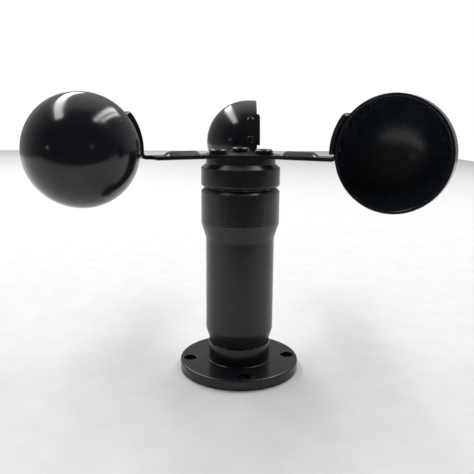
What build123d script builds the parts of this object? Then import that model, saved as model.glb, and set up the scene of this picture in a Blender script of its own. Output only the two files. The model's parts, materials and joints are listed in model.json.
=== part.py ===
from build123d import *
import os
from math import asin, cos, degrees, radians, sin, sqrt

# Cup anemometer: a flanged pedestal carries a rotor with three cups on a stamped spider.
# Millimetres. The origin is the centre of the flange's underside, +Z is the spin axis and
# the four bolt holes lie on the X and Y axes. Every size below is written once, and what
# fits to it is worked out from it.

# ---------------------------------------------------------------- clearances
fit_clearance = 0.05        # radial, between pieces that are screwed or pressed together
running_clearance = 0.3     # least distance between a turning and a standing piece
ball_clearance = 0.05       # ball to raceway

# ---------------------------------------------------------------- bearings and shaft
shaft_radius = 3.0
bearing_outer_radius = 9.5
bearing_width = 6.0
bearing_gap = 10.0          # between the two bearings
race_depth = 0.5            # depth of the ball track in each ring
ball_count = 8
shield_thickness = 0.3
shield_inset = 0.3
cage_rim = 0.25             # cage metal left over a ball pocket
pocket_clearance = 0.1
cage_side_gap = 0.5         # cage to each ring land

# ---------------------------------------------------------------- bearing carrier
carrier_wall = 2.0
carrier_lip = 1.5           # floor that the lower bearing stands on
carrier_lip_reach = 1.6     # how far the lip reaches under the outer ring
carrier_flange_width = 5.5
carrier_flange_thickness = 4.0
carrier_recess = 0.6        # flange top below the collar's top
circlip_depth = 2.2         # upper bearing below the flange top
upstand_height = 4.7
carrier_screw_count = 3
carrier_screw_radius = 1.25
carrier_screw_head_radius = 2.35
carrier_screw_head_height = 1.3
carrier_screw_length = 9.0
carrier_screw_angle = 30.0

# ---------------------------------------------------------------- housing tube
ledge_width = 3.9           # step from the carrier's bore out to the tube's bore
ledge_drop = 3.5            # ledge below the carrier's lower end
tube_wall = 2.8
tube_length = 50.2
collar_taper_height = 8.0
collar_step = 2.5
collar_height = 18.3
collar_chamfer = 1.4
thread_length = 6.0

# ---------------------------------------------------------------- foot and flange
foot_inset = 1.6
foot_taper_height = 5.4
spigot_step = 1.5
spigot_wall = 2.9
spigot_clearance = 0.5      # spigot's end above the socket floor
seal_section = 2.0          # O-ring cord diameter
boss_wall = 3.0
boss_height = 10.4
boss_chamfer = 0.8
flange_radius = 32.5
flange_thickness = 5.5
flange_round = 0.8
bolt_edge_distance = 5.5
bolt_hole_radius = 3.5
bolt_count = 4
socket_floor = 4.0
grommet_recess_radius = 9.5
grommet_recess_depth = 1.6
grommet_hole_radius = 6.0
grommet_rim_width = 2.0
grommet_rim_thickness = 1.4
cable_radius = 2.6

# ---------------------------------------------------------------- circuit boards
board_thickness = 1.6
board_edge_gap = 0.3
board_screw_inset = 2.5     # screw circle inside the tube's bore
standoff_radius = 1.3
standoff_length = 11.0
spacer_length = 12.0
stud_radius = 0.8
stud_length = 4.0
board_hole_radius = 1.1
board_fixing_count = 3
board_screw_head_radius = 1.9
board_screw_head_height = 1.3
hall_size = (4.0, 3.0, 1.5)
hall_offset = 3.5
chip_size = (7.0, 7.0, 1.2)
chip_bevel = 0.2
chip_gap = 0.6              # between neighbouring parts on a board
driver_size = (5.0, 4.0, 1.6)
regulator_size = (6.5, 3.6, 1.7)
capacitor_radius = 3.1
capacitor_height = 7.0
capacitor_round = 0.4
pin_pitch = 2.54
pin_count = 4
pin_size = 0.64
header_width = 2.5
header_socket_height = 8.5
header_offset = 9.0
terminal_pitch = 3.5
terminal_ways = 4
terminal_depth = 7.0
terminal_height = 8.5
terminal_wire_radius = 1.2
terminal_screw_radius = 1.1
terminal_screw_depth = 2.3
terminal_wire_depth = 4.2

# ---------------------------------------------------------------- shaft fittings
clip_thickness = 0.8
clip_width = 1.8
clip_groove = 0.6
magnet_radius = 5.0
magnet_thickness = 3.0
magnet_wall = 1.8
magnet_gap = 1.5            # magnet above the Hall sensor
magnet_grip = 4.0           # length of shaft held by the magnet carrier
set_screw_radius = 1.0
set_screw_length = 3.0
hub_sleeve_wall = 1.6
hub_pin_radius = 1.0
hub_pin_height = 2.0        # above the hub boss's lower end
hub_pin_inset = 0.3         # pin's ends below the boss's surface
retaining_screw_radius = 1.5
retaining_screw_length = 7.0
retaining_head_radius = 2.75
retaining_head_height = 3.0
retaining_washer_radius = 4.1
retaining_washer_thickness = 0.8
shaft_recess = 0.3          # shaft end below the washer

# ---------------------------------------------------------------- rotor hub
hub_gap = 1.1               # standing collar to turning hub
hub_rim_height = 9.8
hub_lower_chamfer = 0.9
hub_taper_height = 2.0
hub_neck_inset = 2.5
hub_neck_height = 3.3
hub_skirt_wall = 3.1
hub_roof = 10.0
hub_boss_wall = 4.0
hub_screw_inset = 4.8
hub_screw_radius = 2.5
hub_screw_length = 9.0
hub_screw_head_radius = 4.75
hub_screw_head_height = 2.7
hub_screw_head_round = 1.6
hub_screw_socket_floor = 0.9  # socket floor above the plate
hub_screw_socket = 3.0      # across the flats of the hexagon socket
hub_thread_depth = 8.0
arm_count = 3
rotor_rest_angle = 85.5

# ---------------------------------------------------------------- spider
sheet_thickness = 1.8
arm_width = 13.0
arm_root_round = 6.0
rib_start = 23.8
rib_length = 19.1
rib_width = 8.6
rib_height = 2.0
rib_slope = 55.0            # draft of the rib's flanks from the upright
bend_radius = 1.5
bend_clearance = 2.2        # straight neck before the bend
tab_rear = 1.3              # tab's rear edge ahead of the arm's centre line
tab_front_overhang = 1.6    # tab's front edge ahead of the cup's mouth
tab_low_angle = -2.0
tab_high_angle = 39.0
tab_corner_round = 2.0
tab_clearance = 0.1

# ---------------------------------------------------------------- cups
cup_circle_radius = 81.6
cup_radius = 26.5
cup_wall = 1.6
cup_skirt = 5.2
cup_lip_round = 0.5
cup_lift = 2.9              # cup axis above the spider's top face
mouth_offset = 11.2         # mouth plane ahead of the arm's centre line
rivet_angles = (5.0, 30.0)
rivet_radius = 1.5
rivet_head_radius = 2.4
rivet_head_height = 0.9
rivet_head_round = 0.7
rivet_tail_radius = 2.2
rivet_tail_height = 0.6
rivet_tail_round = 0.45

# ---------------------------------------------------------------- radii that follow
carrier_radius = bearing_outer_radius + carrier_wall
carrier_flange_radius = carrier_radius + carrier_flange_width
carrier_screw_circle = carrier_radius + carrier_flange_width / 2
tube_bore_radius = carrier_radius + ledge_width
tube_radius = tube_bore_radius + tube_wall
collar_radius = tube_radius + collar_step
foot_radius = tube_radius - foot_inset
spigot_radius = tube_bore_radius - spigot_step
spigot_bore_radius = spigot_radius - spigot_wall
boss_radius = spigot_radius + boss_wall
bolt_circle_radius = flange_radius - bolt_edge_distance
board_radius = tube_bore_radius - board_edge_gap
board_screw_circle = tube_bore_radius - board_screw_inset
shield_face = bearing_width / 2 - shield_inset - shield_thickness
cage_half_height = shield_face - running_clearance
pocket_radius = cage_half_height - cage_rim
ball_radius = pocket_radius - pocket_clearance
ball_circle_radius = (shaft_radius + bearing_outer_radius) / 2
inner_land = ball_circle_radius - ball_radius + race_depth
outer_land = ball_circle_radius + ball_radius - race_depth
hub_neck_radius = collar_radius - hub_neck_inset
hub_cavity_radius = collar_radius - hub_skirt_wall
hub_boss_radius = shaft_radius + hub_boss_wall
hub_screw_circle = hub_neck_radius - hub_screw_inset
sleeve_radius = shaft_radius + hub_sleeve_wall
tab_inner_radius = cup_radius + tab_clearance
tab_outer_radius = tab_inner_radius + sheet_thickness
tab_front = mouth_offset + tab_front_overhang
tab_middle = (tab_rear + tab_front) / 2

# ---------------------------------------------------------------- heights that follow
boss_top = flange_thickness + boss_height
foot_bottom = boss_top + seal_section
spigot_bottom = socket_floor + spigot_clearance
tube_bottom = foot_bottom + foot_taper_height
taper_bottom = tube_bottom + tube_length
collar_bottom = taper_bottom + collar_taper_height
collar_top = collar_bottom + collar_height
carrier_top = collar_top - carrier_recess
carrier_flange_bottom = carrier_top - carrier_flange_thickness
upper_bearing_top = carrier_top - circlip_depth
upper_bearing_middle = upper_bearing_top - bearing_width / 2
lower_bearing_top = upper_bearing_top - bearing_width - bearing_gap
lower_bearing_middle = lower_bearing_top - bearing_width / 2
lower_bearing_bottom = lower_bearing_top - bearing_width
carrier_bottom = lower_bearing_bottom - carrier_lip
ledge_height = carrier_bottom - ledge_drop
sensor_board_top = ledge_height - standoff_length
sensor_board_bottom = sensor_board_top - board_thickness
signal_board_top = sensor_board_bottom - spacer_length
signal_board_bottom = signal_board_top - board_thickness
magnet_bottom = sensor_board_top + hall_size[2] + magnet_gap
shaft_bottom = magnet_bottom + magnet_thickness
magnet_carrier_top = shaft_bottom + magnet_grip
hub_bottom = collar_top + hub_gap
hub_rim_top = hub_bottom + hub_rim_height
hub_taper_top = hub_rim_top + hub_taper_height
hub_top = hub_taper_top + hub_neck_height
hub_ceiling = hub_top - hub_roof
plate_bottom = hub_top
plate_top = plate_bottom + sheet_thickness
cup_height = plate_top + cup_lift
retaining_head_bottom = hub_top - running_clearance - retaining_head_height
washer_bottom = retaining_head_bottom - retaining_washer_thickness
shaft_top = washer_bottom - shaft_recess
hub_pin_z = hub_bottom + hub_pin_height


# ---------------------------------------------------------------- helpers
def turned(points):
    """Solid of revolution about Z from (radius, height) points."""
    outline = Polyline([(r, 0, z) for r, z in points], close=True)
    return revolve(make_face(outline), Axis.Z)


def rod(radius, low, high):
    return Pos(0, 0, low) * Cylinder(radius, high - low, align=(Align.CENTER, Align.CENTER, Align.MIN))


def tube(outer, inner, low, high):
    return rod(outer, low, high) - rod(inner, low, high)


def block(size, low, x=0.0, y=0.0):
    return Pos(x, y, low) * Box(*size, align=(Align.CENTER, Align.CENTER, Align.MIN))


def torus(ring_radius, section_radius, height):
    return Pos(0, 0, height) * Torus(ring_radius, section_radius)


def around(shape, radius, count, start=0.0):
    """Separate copies of a shape on a circle about Z."""
    return [place * shape for place in PolarLocations(radius, count, start)]


def cut_all(body, tools):
    for tool in tools:
        body -= tool
    return body


def joined(first, others):
    for other in others:
        first += other
    return first


# ---------------------------------------------------------------- foot of the instrument
def base_flange():
    body = rod(flange_radius, 0, flange_thickness)
    body = fillet(body.edges().sort_by(Axis.Z)[-1], flange_round)
    boss = rod(boss_radius, flange_thickness, boss_top)
    body += chamfer(boss.edges().sort_by(Axis.Z)[-1], boss_chamfer)
    body -= rod(spigot_radius + fit_clearance, socket_floor, boss_top)
    body -= rod(grommet_hole_radius, 0, socket_floor)
    body -= rod(grommet_recess_radius, 0, grommet_recess_depth)
    bolt_hole = rod(bolt_hole_radius, 0, flange_thickness)
    return cut_all(body, around(bolt_hole, bolt_circle_radius, bolt_count))


def base_o_ring():
    ring_radius = (boss_radius + spigot_radius) / 2
    return torus(ring_radius, seal_section / 2, boss_top + seal_section / 2)


def cable_grommet():
    rim_radius = grommet_hole_radius + grommet_rim_width
    body = rod(grommet_hole_radius, grommet_recess_depth, socket_floor)
    body += rod(rim_radius, grommet_recess_depth - grommet_rim_thickness, grommet_recess_depth)
    body += rod(rim_radius, socket_floor, socket_floor + grommet_rim_thickness)
    return body - rod(cable_radius, 0, boss_top)


def foot_adapter():
    """Lower taper with a spigot that screws into the flange and another into the tube."""
    thread_radius = tube_bore_radius - fit_clearance
    body = turned(
        [
            (spigot_bore_radius, spigot_bottom),
            (spigot_radius, spigot_bottom),
            (spigot_radius, foot_bottom),
            (foot_radius, foot_bottom),
            (tube_radius, tube_bottom),
            (thread_radius, tube_bottom),
            (thread_radius, tube_bottom + thread_length),
            (spigot_bore_radius, tube_bottom + thread_length),
        ]
    )
    return body - foot_seal_groove()


def foot_seal_radius():
    return tube_bore_radius - seal_section / 2


def foot_seal_height():
    return tube_bottom + thread_length / 2


def foot_seal_groove():
    half = seal_section / 2 + fit_clearance
    low = foot_seal_height() - half
    high = foot_seal_height() + half
    inner = foot_seal_radius() - half
    return tube(tube_bore_radius, inner, low, high)


def foot_o_ring():
    return torus(foot_seal_radius(), seal_section / 2 - fit_clearance / 2, foot_seal_height())


# ---------------------------------------------------------------- housing and bearing carrier
def housing_tube():
    carrier_bore = carrier_radius + fit_clearance
    flange_bore = carrier_flange_radius + fit_clearance
    body = turned(
        [
            (tube_bore_radius, tube_bottom),
            (tube_radius, tube_bottom),
            (tube_radius, taper_bottom),
            (collar_radius, collar_bottom),
            (collar_radius, collar_top - collar_chamfer),
            (collar_radius - collar_chamfer, collar_top),
            (flange_bore, collar_top),
            (flange_bore, carrier_flange_bottom),
            (carrier_bore, carrier_flange_bottom),
            (carrier_bore, ledge_height),
            (tube_bore_radius, ledge_height),
        ]
    )
    thread = rod(carrier_screw_radius, carrier_top - carrier_screw_length, carrier_flange_bottom)
    body = cut_all(body, around_carrier(thread))
    stud_hole = rod(stud_radius, ledge_height, ledge_height + stud_length)
    return cut_all(body, around(stud_hole, board_screw_circle, board_fixing_count))


def carrier_screw():
    """Countersunk screw with a slot, its head flush with the carrier's flange."""
    neck = carrier_top - carrier_screw_head_height
    body = turned(
        [
            (0, carrier_top - carrier_screw_length),
            (carrier_screw_radius, carrier_top - carrier_screw_length),
            (carrier_screw_radius, neck),
            (carrier_screw_head_radius, carrier_top),
            (0, carrier_top),
        ]
    )
    slot_depth = carrier_screw_head_height / 2
    slot = (2 * carrier_screw_head_radius, slot_depth, slot_depth)
    return body - block(slot, carrier_top - slot_depth)


def around_carrier(shape):
    return around(shape, carrier_screw_circle, carrier_screw_count, carrier_screw_angle)


def carrier_screws():
    return Compound(around_carrier(carrier_screw()))


def bearing_carrier():
    lip_radius = bearing_outer_radius - carrier_lip_reach
    clip_low = upper_bearing_top
    body = turned(
        [
            (lip_radius, carrier_bottom),
            (carrier_radius, carrier_bottom),
            (carrier_radius, carrier_flange_bottom),
            (carrier_flange_radius, carrier_flange_bottom),
            (carrier_flange_radius, carrier_top),
            (carrier_radius, carrier_top),
            (carrier_radius, carrier_top + upstand_height),
            (bearing_outer_radius, carrier_top + upstand_height),
            (bearing_outer_radius, lower_bearing_bottom),
            (lip_radius, lower_bearing_bottom),
        ]
    )
    groove_radius = bearing_outer_radius + clip_groove
    body -= tube(groove_radius, bearing_outer_radius, clip_low, clip_low + clip_thickness)
    hole = rod(carrier_screw_radius, carrier_flange_bottom, carrier_top)
    sink = turned(
        [
            (0, carrier_top - carrier_screw_head_height),
            (carrier_screw_radius, carrier_top - carrier_screw_head_height),
            (carrier_screw_head_radius, carrier_top),
            (0, carrier_top),
        ]
    )
    return cut_all(body, around_carrier(hole + sink))


def split_ring(outer, inner, low, high, gap):
    opening = Pos((outer + inner) / 2, 0, low) * Box(
        2 * (outer - inner), gap, high - low, align=(Align.CENTER, Align.CENTER, Align.MIN)
    )
    return tube(outer, inner, low, high) - opening


def bearing_circlip():
    outer = bearing_outer_radius + clip_groove - fit_clearance
    inner = bearing_outer_radius - clip_width
    return split_ring(outer, inner, upper_bearing_top, upper_bearing_top + clip_thickness, clip_width)


def outer_spacer():
    inner = bearing_outer_radius - carrier_lip_reach
    return tube(bearing_outer_radius, inner, lower_bearing_top, lower_bearing_top + bearing_gap)


# ---------------------------------------------------------------- bearings
def raceway(middle):
    return torus(ball_circle_radius, ball_radius + ball_clearance, middle)


def outer_ring(middle):
    half = bearing_width / 2
    return tube(bearing_outer_radius, outer_land, middle - half, middle + half) - raceway(middle)


def inner_ring(middle):
    half = bearing_width / 2
    return tube(inner_land, shaft_radius, middle - half, middle + half) - raceway(middle)


def balls(middle):
    return Compound(around(Pos(0, 0, middle) * Sphere(ball_radius), ball_circle_radius, ball_count))


def ball_cage(middle):
    body = tube(
        outer_land - cage_side_gap,
        inner_land + cage_side_gap,
        middle - cage_half_height,
        middle + cage_half_height,
    )
    pocket = Pos(0, 0, middle) * Rot(0, 90, 0) * Cylinder(pocket_radius, outer_land - inner_land)
    return cut_all(body, around(pocket, ball_circle_radius, ball_count))


def bearing_shields(middle):
    inner = inner_land + running_clearance
    upper = tube(outer_land, inner, middle + shield_face, middle + shield_face + shield_thickness)
    lower = tube(outer_land, inner, middle - shield_face - shield_thickness, middle - shield_face)
    return Compound([upper, lower])


# ---------------------------------------------------------------- circuit boards
def board(low):
    body = rod(board_radius, low, low + board_thickness)
    hole = rod(board_hole_radius, low, low + board_thickness)
    return cut_all(body, around(hole, board_screw_circle, board_fixing_count))


def pin_places():
    span = pin_pitch * (pin_count - 1)
    return [(-span / 2 + pin_pitch * i, header_offset) for i in range(pin_count)]


def header_pins_through(radius, low, high):
    return [Pos(x, y, 0) * rod(radius, low, high) for x, y in pin_places()]


def sensor_board():
    holes = header_pins_through(pin_size, sensor_board_bottom, sensor_board_top)
    return cut_all(board(sensor_board_bottom), holes)


def signal_board():
    return board(signal_board_bottom)


def hall_sensor():
    return block(hall_size, sensor_board_top, x=hall_offset)


def header_socket():
    length = pin_pitch * pin_count
    body = block((length, header_width, header_socket_height), signal_board_top, y=header_offset)
    top = signal_board_top + header_socket_height
    return cut_all(body, header_pins_through(pin_size, signal_board_top + board_thickness, top))


def header_pins():
    """Pin strip under the sensor board; its pins reach down into the socket."""
    length = pin_pitch * pin_count
    bar = block((length, header_width, header_width), sensor_board_bottom - header_width, y=header_offset)
    low = signal_board_top + 2 * board_thickness
    high = sensor_board_top + pin_size
    pins = [block((pin_size, pin_size, high - low), low, x, y) for x, y in pin_places()]
    return joined(bar, pins)


def board_standoffs():
    body = rod(standoff_radius, sensor_board_top, ledge_height)
    body += rod(stud_radius, ledge_height, ledge_height + stud_length)
    body -= rod(stud_radius, sensor_board_top, sensor_board_top + stud_length)
    return Compound(around(body, board_screw_circle, board_fixing_count))


def board_spacers():
    body = rod(standoff_radius, signal_board_top, sensor_board_bottom)
    body += rod(stud_radius, sensor_board_bottom, sensor_board_top + stud_length - board_hole_radius)
    body -= rod(stud_radius, signal_board_top, signal_board_top + stud_length)
    return Compound(around(body, board_screw_circle, board_fixing_count))


def board_screws():
    body = rod(board_screw_head_radius, signal_board_bottom - board_screw_head_height, signal_board_bottom)
    body += rod(stud_radius, signal_board_bottom, signal_board_top + stud_length - board_hole_radius)
    return Compound(around(body, board_screw_circle, board_fixing_count))


def microcontroller():
    return chamfer(block(chip_size, signal_board_top).edges().group_by(Axis.Z)[-1], chip_bevel)


def line_driver():
    x = -(chip_size[0] + driver_size[0]) / 2 - chip_gap
    return block(driver_size, signal_board_top, x=x)


def voltage_regulator():
    y = -(chip_size[1] + regulator_size[1]) / 2 - chip_gap
    return block(regulator_size, signal_board_top, y=y)


def filter_capacitor():
    low = signal_board_top
    x = chip_size[0] / 2 + capacitor_radius + chip_gap
    body = Pos(x, 0, 0) * rod(capacitor_radius, low, low + capacitor_height)
    return fillet(body.edges().sort_by(Axis.Z)[-1], capacitor_round)


def terminal_places():
    span = terminal_pitch * (terminal_ways - 1)
    return [-span / 2 + terminal_pitch * i for i in range(terminal_ways)]


def terminal_screw_axis(x, radius, depth):
    """Rod along Y from the terminal block's front face inwards."""
    middle = signal_board_bottom - terminal_height / 2
    start = -terminal_depth / 2
    return Pos(x, start, middle) * Rot(-90, 0, 0) * rod(radius, 0, depth)


def terminal_block():
    length = terminal_pitch * terminal_ways
    low = signal_board_bottom - terminal_height
    body = block((length, terminal_depth, terminal_height), low)
    for x in terminal_places():
        body -= Pos(x, terminal_wire_radius, 0) * rod(terminal_wire_radius, low, low + terminal_wire_depth)
        body -= terminal_screw_axis(x, terminal_screw_radius + fit_clearance, terminal_screw_depth)
    return body


def terminal_screws():
    screws = [
        terminal_screw_axis(x, terminal_screw_radius, terminal_screw_depth)
        - terminal_screw_axis(x, terminal_screw_radius / 3, terminal_screw_depth / 3)
        for x in terminal_places()
    ]
    return Compound(screws)


# ---------------------------------------------------------------- shaft and what it carries
def rotor_shaft():
    body = rod(shaft_radius, shaft_bottom, shaft_top)
    groove_top = lower_bearing_bottom
    groove = tube(shaft_radius, shaft_radius - clip_groove, groove_top - clip_thickness, groove_top)
    body -= groove
    body -= rod(retaining_screw_radius, retaining_head_bottom - retaining_screw_length, shaft_top)
    return body - hub_pin()


def inner_spacer():
    outer = shaft_radius + hub_sleeve_wall
    return tube(outer, shaft_radius, lower_bearing_top, lower_bearing_top + bearing_gap)


def hub_sleeve():
    return tube(sleeve_radius, shaft_radius, upper_bearing_top, hub_bottom)


def shaft_circlip():
    inner = shaft_radius - clip_groove + fit_clearance
    outer = sleeve_radius
    return split_ring(outer, inner, lower_bearing_bottom - clip_thickness, lower_bearing_bottom, clip_width)


def set_screw_rod(start, end):
    """Rod along X at the middle of the magnet carrier's grip."""
    height = (shaft_bottom + magnet_carrier_top) / 2
    return Pos(0, 0, height) * Rot(0, 90, 0) * rod(set_screw_radius, start, end)


def magnet_carrier():
    radius = magnet_radius + magnet_wall
    body = rod(radius, magnet_bottom, magnet_carrier_top)
    body = chamfer(body.edges().sort_by(Axis.Z)[-1], magnet_wall / 2)
    body -= rod(magnet_radius, magnet_bottom, shaft_bottom)
    body -= rod(shaft_radius, shaft_bottom, magnet_carrier_top)
    return body - set_screw_rod(0, 2 * radius)


def magnet_set_screw():
    return set_screw_rod(shaft_radius, shaft_radius + set_screw_length)


def sensor_magnet():
    return rod(magnet_radius, magnet_bottom, shaft_bottom)


def cross_rod(reach):
    """Rod of the pin's thickness through the spin axis, reaching equally far both ways."""
    return Pos(-reach, 0, hub_pin_z) * Rot(0, 90, 0) * rod(hub_pin_radius, 0, 2 * reach)


def hub_pin():
    return cross_rod(hub_boss_radius - hub_pin_inset)


def hexagon(across_flats, low, high):
    corner_radius = across_flats / sqrt(3)
    return Pos(0, 0, low) * extrude(RegularPolygon(corner_radius, 6), high - low)


def retaining_screw():
    bottom = retaining_head_bottom
    body = rod(retaining_head_radius, bottom, bottom + retaining_head_height)
    body += rod(retaining_screw_radius, bottom - retaining_screw_length, bottom)
    socket_top = bottom + retaining_head_height
    return body - hexagon(retaining_head_radius, bottom + retaining_head_height / 2, socket_top)


def retaining_washer():
    inner = retaining_screw_radius + fit_clearance
    return tube(retaining_washer_radius, inner, washer_bottom, retaining_head_bottom)


# ---------------------------------------------------------------- rotor hub
def arm_angles():
    return [rotor_rest_angle + i * 360 / arm_count for i in range(arm_count)]


def at_arms(shape, radius):
    return [Rot(0, 0, angle) * Pos(radius, 0, 0) * shape for angle in arm_angles()]


def rotor_hub():
    body = turned(
        [
            (shaft_radius, hub_bottom),
            (hub_boss_radius, hub_bottom),
            (hub_boss_radius, hub_ceiling),
            (hub_cavity_radius, hub_ceiling),
            (hub_cavity_radius, hub_bottom),
            (collar_radius - hub_lower_chamfer, hub_bottom),
            (collar_radius, hub_bottom + hub_lower_chamfer),
            (collar_radius, hub_rim_top),
            (hub_neck_radius, hub_taper_top),
            (hub_neck_radius, hub_top),
            (shaft_radius, hub_top),
        ]
    )
    body -= rod(retaining_washer_radius + fit_clearance, washer_bottom, hub_top)
    body -= cross_rod(hub_boss_radius + hub_pin_radius)
    thread = rod(hub_screw_radius, hub_top - hub_thread_depth, hub_top)
    return cut_all(body, at_arms(thread, hub_screw_circle))


def hub_screw():
    """Button-head screw with a hexagon socket."""
    length = hub_screw_length - sheet_thickness
    body = rod(hub_screw_head_radius, plate_top, plate_top + hub_screw_head_height)
    body = fillet(body.edges().sort_by(Axis.Z)[-1], hub_screw_head_round)
    body += rod(hub_screw_radius, plate_bottom - length, plate_top)
    head_top = plate_top + hub_screw_head_height
    return body - hexagon(hub_screw_socket, plate_top + hub_screw_socket_floor, head_top)


def hub_screws():
    return Compound(at_arms(hub_screw(), hub_screw_circle))


# ---------------------------------------------------------------- spider, in the frame of one arm
# The arm points along +X. The cup's mouth faces -Y, so "ahead" is towards -Y.
def arm_slab(start, end, rear, front):
    size = (end - start, front - rear, sheet_thickness)
    return block(size, plate_bottom, x=(start + end) / 2, y=-(rear + front) / 2)


def tab_point(radius, angle):
    """Point at an angle above the horizontal, on the hub side of the cup's axis."""
    return (
        cup_circle_radius - radius * cos(radians(angle)),
        0,
        cup_height + radius * sin(radians(angle)),
    )


def tab_sector(low_angle, high_angle, rear, front):
    """Length of the curved tab between two angles and two distances ahead."""
    middle_angle = (low_angle + high_angle) / 2
    inner = ThreePointArc(
        tab_point(tab_inner_radius, low_angle),
        tab_point(tab_inner_radius, middle_angle),
        tab_point(tab_inner_radius, high_angle),
    )
    outer = ThreePointArc(
        tab_point(tab_outer_radius, low_angle),
        tab_point(tab_outer_radius, middle_angle),
        tab_point(tab_outer_radius, high_angle),
    )
    ends = [Line(inner @ 0, outer @ 0), Line(inner @ 1, outer @ 1)]
    face = make_face([inner, outer] + ends)
    return Pos(0, -rear, 0) * extrude(face, front - rear, dir=(0, -1, 0))


def circle_x(radius, height):
    """Where the hub side of a circle about the cup's axis reaches a height."""
    rise = cup_height - height
    return cup_circle_radius - sqrt(radius**2 - rise**2)


def neck_start():
    return circle_x(tab_outer_radius, plate_top) - bend_radius - bend_clearance


def neck():
    """Narrow strip that leaves the arm's end and bends up into the tab."""
    front = arm_width / 2
    low_angle = -degrees(asin((cup_height - plate_bottom) / tab_inner_radius))
    inner_x = circle_x(tab_inner_radius, plate_bottom)
    outer_x = circle_x(tab_outer_radius, plate_top)
    start = neck_start()
    top_arc = ThreePointArc(
        (outer_x, 0, plate_top),
        tab_point(tab_outer_radius, (low_angle + tab_low_angle) / 2 + 1),
        tab_point(tab_outer_radius, tab_low_angle),
    )
    low_arc = ThreePointArc(
        (inner_x, 0, plate_bottom),
        tab_point(tab_inner_radius, (low_angle + tab_low_angle) / 2),
        tab_point(tab_inner_radius, tab_low_angle),
    )
    face = make_face(
        [
            Line((start, 0, plate_bottom), low_arc @ 0),
            low_arc,
            Line(low_arc @ 1, top_arc @ 1),
            top_arc,
            Line(top_arc @ 0, (start, 0, plate_top)),
            Line((start, 0, plate_top), (start, 0, plate_bottom)),
        ]
    )
    body = Pos(0, -tab_rear, 0) * extrude(face, front - tab_rear, dir=(0, -1, 0))
    corners = body.edges().filter_by(Axis.Y)
    inner_corner = corners.sort_by_distance((outer_x, -front / 2, plate_top))[0]
    body = fillet(inner_corner, bend_radius)
    corners = body.edges().filter_by(Axis.Y)
    outer_corner = corners.sort_by_distance((inner_x, -front / 2, plate_bottom))[0]
    return fillet(outer_corner, bend_radius + sheet_thickness)


def rib(low):
    """Tapered block; the same block lower down hollows the sheet under the rib."""
    base = Pos(rib_start + rib_length / 2, 0, low) * Rectangle(rib_length, rib_width)
    base = fillet(base.vertices(), rib_width / 2 - rib_height)
    return extrude(base, rib_height, taper=rib_slope)


def tab():
    body = tab_sector(tab_low_angle, tab_high_angle, tab_rear, tab_front)
    tip = tab_point((tab_inner_radius + tab_outer_radius) / 2, tab_high_angle)
    lines = body.edges().filter_by(GeomType.LINE)
    corners = [e for e in lines if abs(e.length - sheet_thickness) < fit_clearance]
    top_corners = [e for e in corners if abs(e.center().Z - tip[2]) < sheet_thickness]
    return fillet(top_corners, tab_corner_round)


def spider_blank():
    """Flat disc with its arms, rounded where they meet, and the screw holes."""
    plate = rod(hub_neck_radius, plate_bottom, plate_top)
    half_width = arm_width / 2
    for angle in arm_angles():
        plate += Rot(0, 0, angle) * arm_slab(0, neck_start(), -half_width, half_width)
    roots = [
        e
        for e in plate.edges().filter_by(Axis.Z)
        if abs(sqrt(e.center().X ** 2 + e.center().Y ** 2) - hub_neck_radius) < fit_clearance
    ]
    plate = fillet(roots, arm_root_round)
    hole = rod(hub_screw_radius + fit_clearance, plate_bottom, plate_top)
    return cut_all(plate, at_arms(hole, hub_screw_circle))


def spider_plate():
    plate = spider_blank()
    for angle in arm_angles():
        turn = Rot(0, 0, angle)
        plate += turn * neck()
        plate += turn * (tab() - rivet_holes())
        plate += turn * rib(plate_top)
        plate -= turn * rib(plate_bottom)
    return plate


# ---------------------------------------------------------------- cups and rivets, in the arm's frame
def cup_frame():
    """Origin on the cup's axis, local Z out of the mouth, local X away from the hub."""
    return Plane(origin=(cup_circle_radius, 0, cup_height), x_dir=(1, 0, 0), z_dir=(0, -1, 0))


def cup():
    inner_radius = cup_radius - cup_wall
    dome_centre = mouth_offset - cup_skirt
    half = sqrt(0.5)
    outline = make_face(
        [
            Line((inner_radius, 0, mouth_offset), (cup_radius, 0, mouth_offset)),
            Line((cup_radius, 0, mouth_offset), (cup_radius, 0, dome_centre)),
            ThreePointArc(
                (cup_radius, 0, dome_centre),
                (cup_radius * half, 0, dome_centre - cup_radius * half),
                (0, 0, dome_centre - cup_radius),
            ),
            Line((0, 0, dome_centre - cup_radius), (0, 0, dome_centre - inner_radius)),
            ThreePointArc(
                (0, 0, dome_centre - inner_radius),
                (inner_radius * half, 0, dome_centre - inner_radius * half),
                (inner_radius, 0, dome_centre),
            ),
            Line((inner_radius, 0, dome_centre), (inner_radius, 0, mouth_offset)),
        ]
    )
    body = revolve(outline, Axis.Z)
    body = fillet(body.edges().group_by(Axis.Z)[-1], cup_lip_round)
    return cup_frame().location * body - rivet_holes()


def rivet_place(angle):
    """Frame with local Z along the rivet, from the cup's axis out towards the hub."""
    return (
        cup_frame().location
        * Pos(0, 0, tab_middle)
        * Rot(0, 0, -angle)
        * Rot(0, -90, 0)
    )


def rivet_holes():
    hole = rod(rivet_radius + fit_clearance, cup_radius / 2, tab_outer_radius + sheet_thickness)
    first, *rest = [rivet_place(angle) * hole for angle in rivet_angles]
    return joined(first, rest)


def rivet():
    inner_radius = cup_radius - cup_wall
    seat = sqrt(inner_radius**2 - rivet_head_radius**2)
    head = rod(rivet_head_radius, seat - rivet_head_height, seat)
    head = fillet(head.edges().sort_by(Axis.Z)[0], rivet_head_round)
    shank = rod(rivet_radius, seat, tab_outer_radius)
    tail = rod(rivet_tail_radius, tab_outer_radius, tab_outer_radius + rivet_tail_height)
    tail = fillet(tail.edges().sort_by(Axis.Z)[-1], rivet_tail_round)
    return head + shank + tail


def cup_rivets():
    one_cup = [rivet_place(angle) * rivet() for angle in rivet_angles]
    return Compound([Rot(0, 0, angle) * piece for angle in arm_angles() for piece in one_cup])


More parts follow.
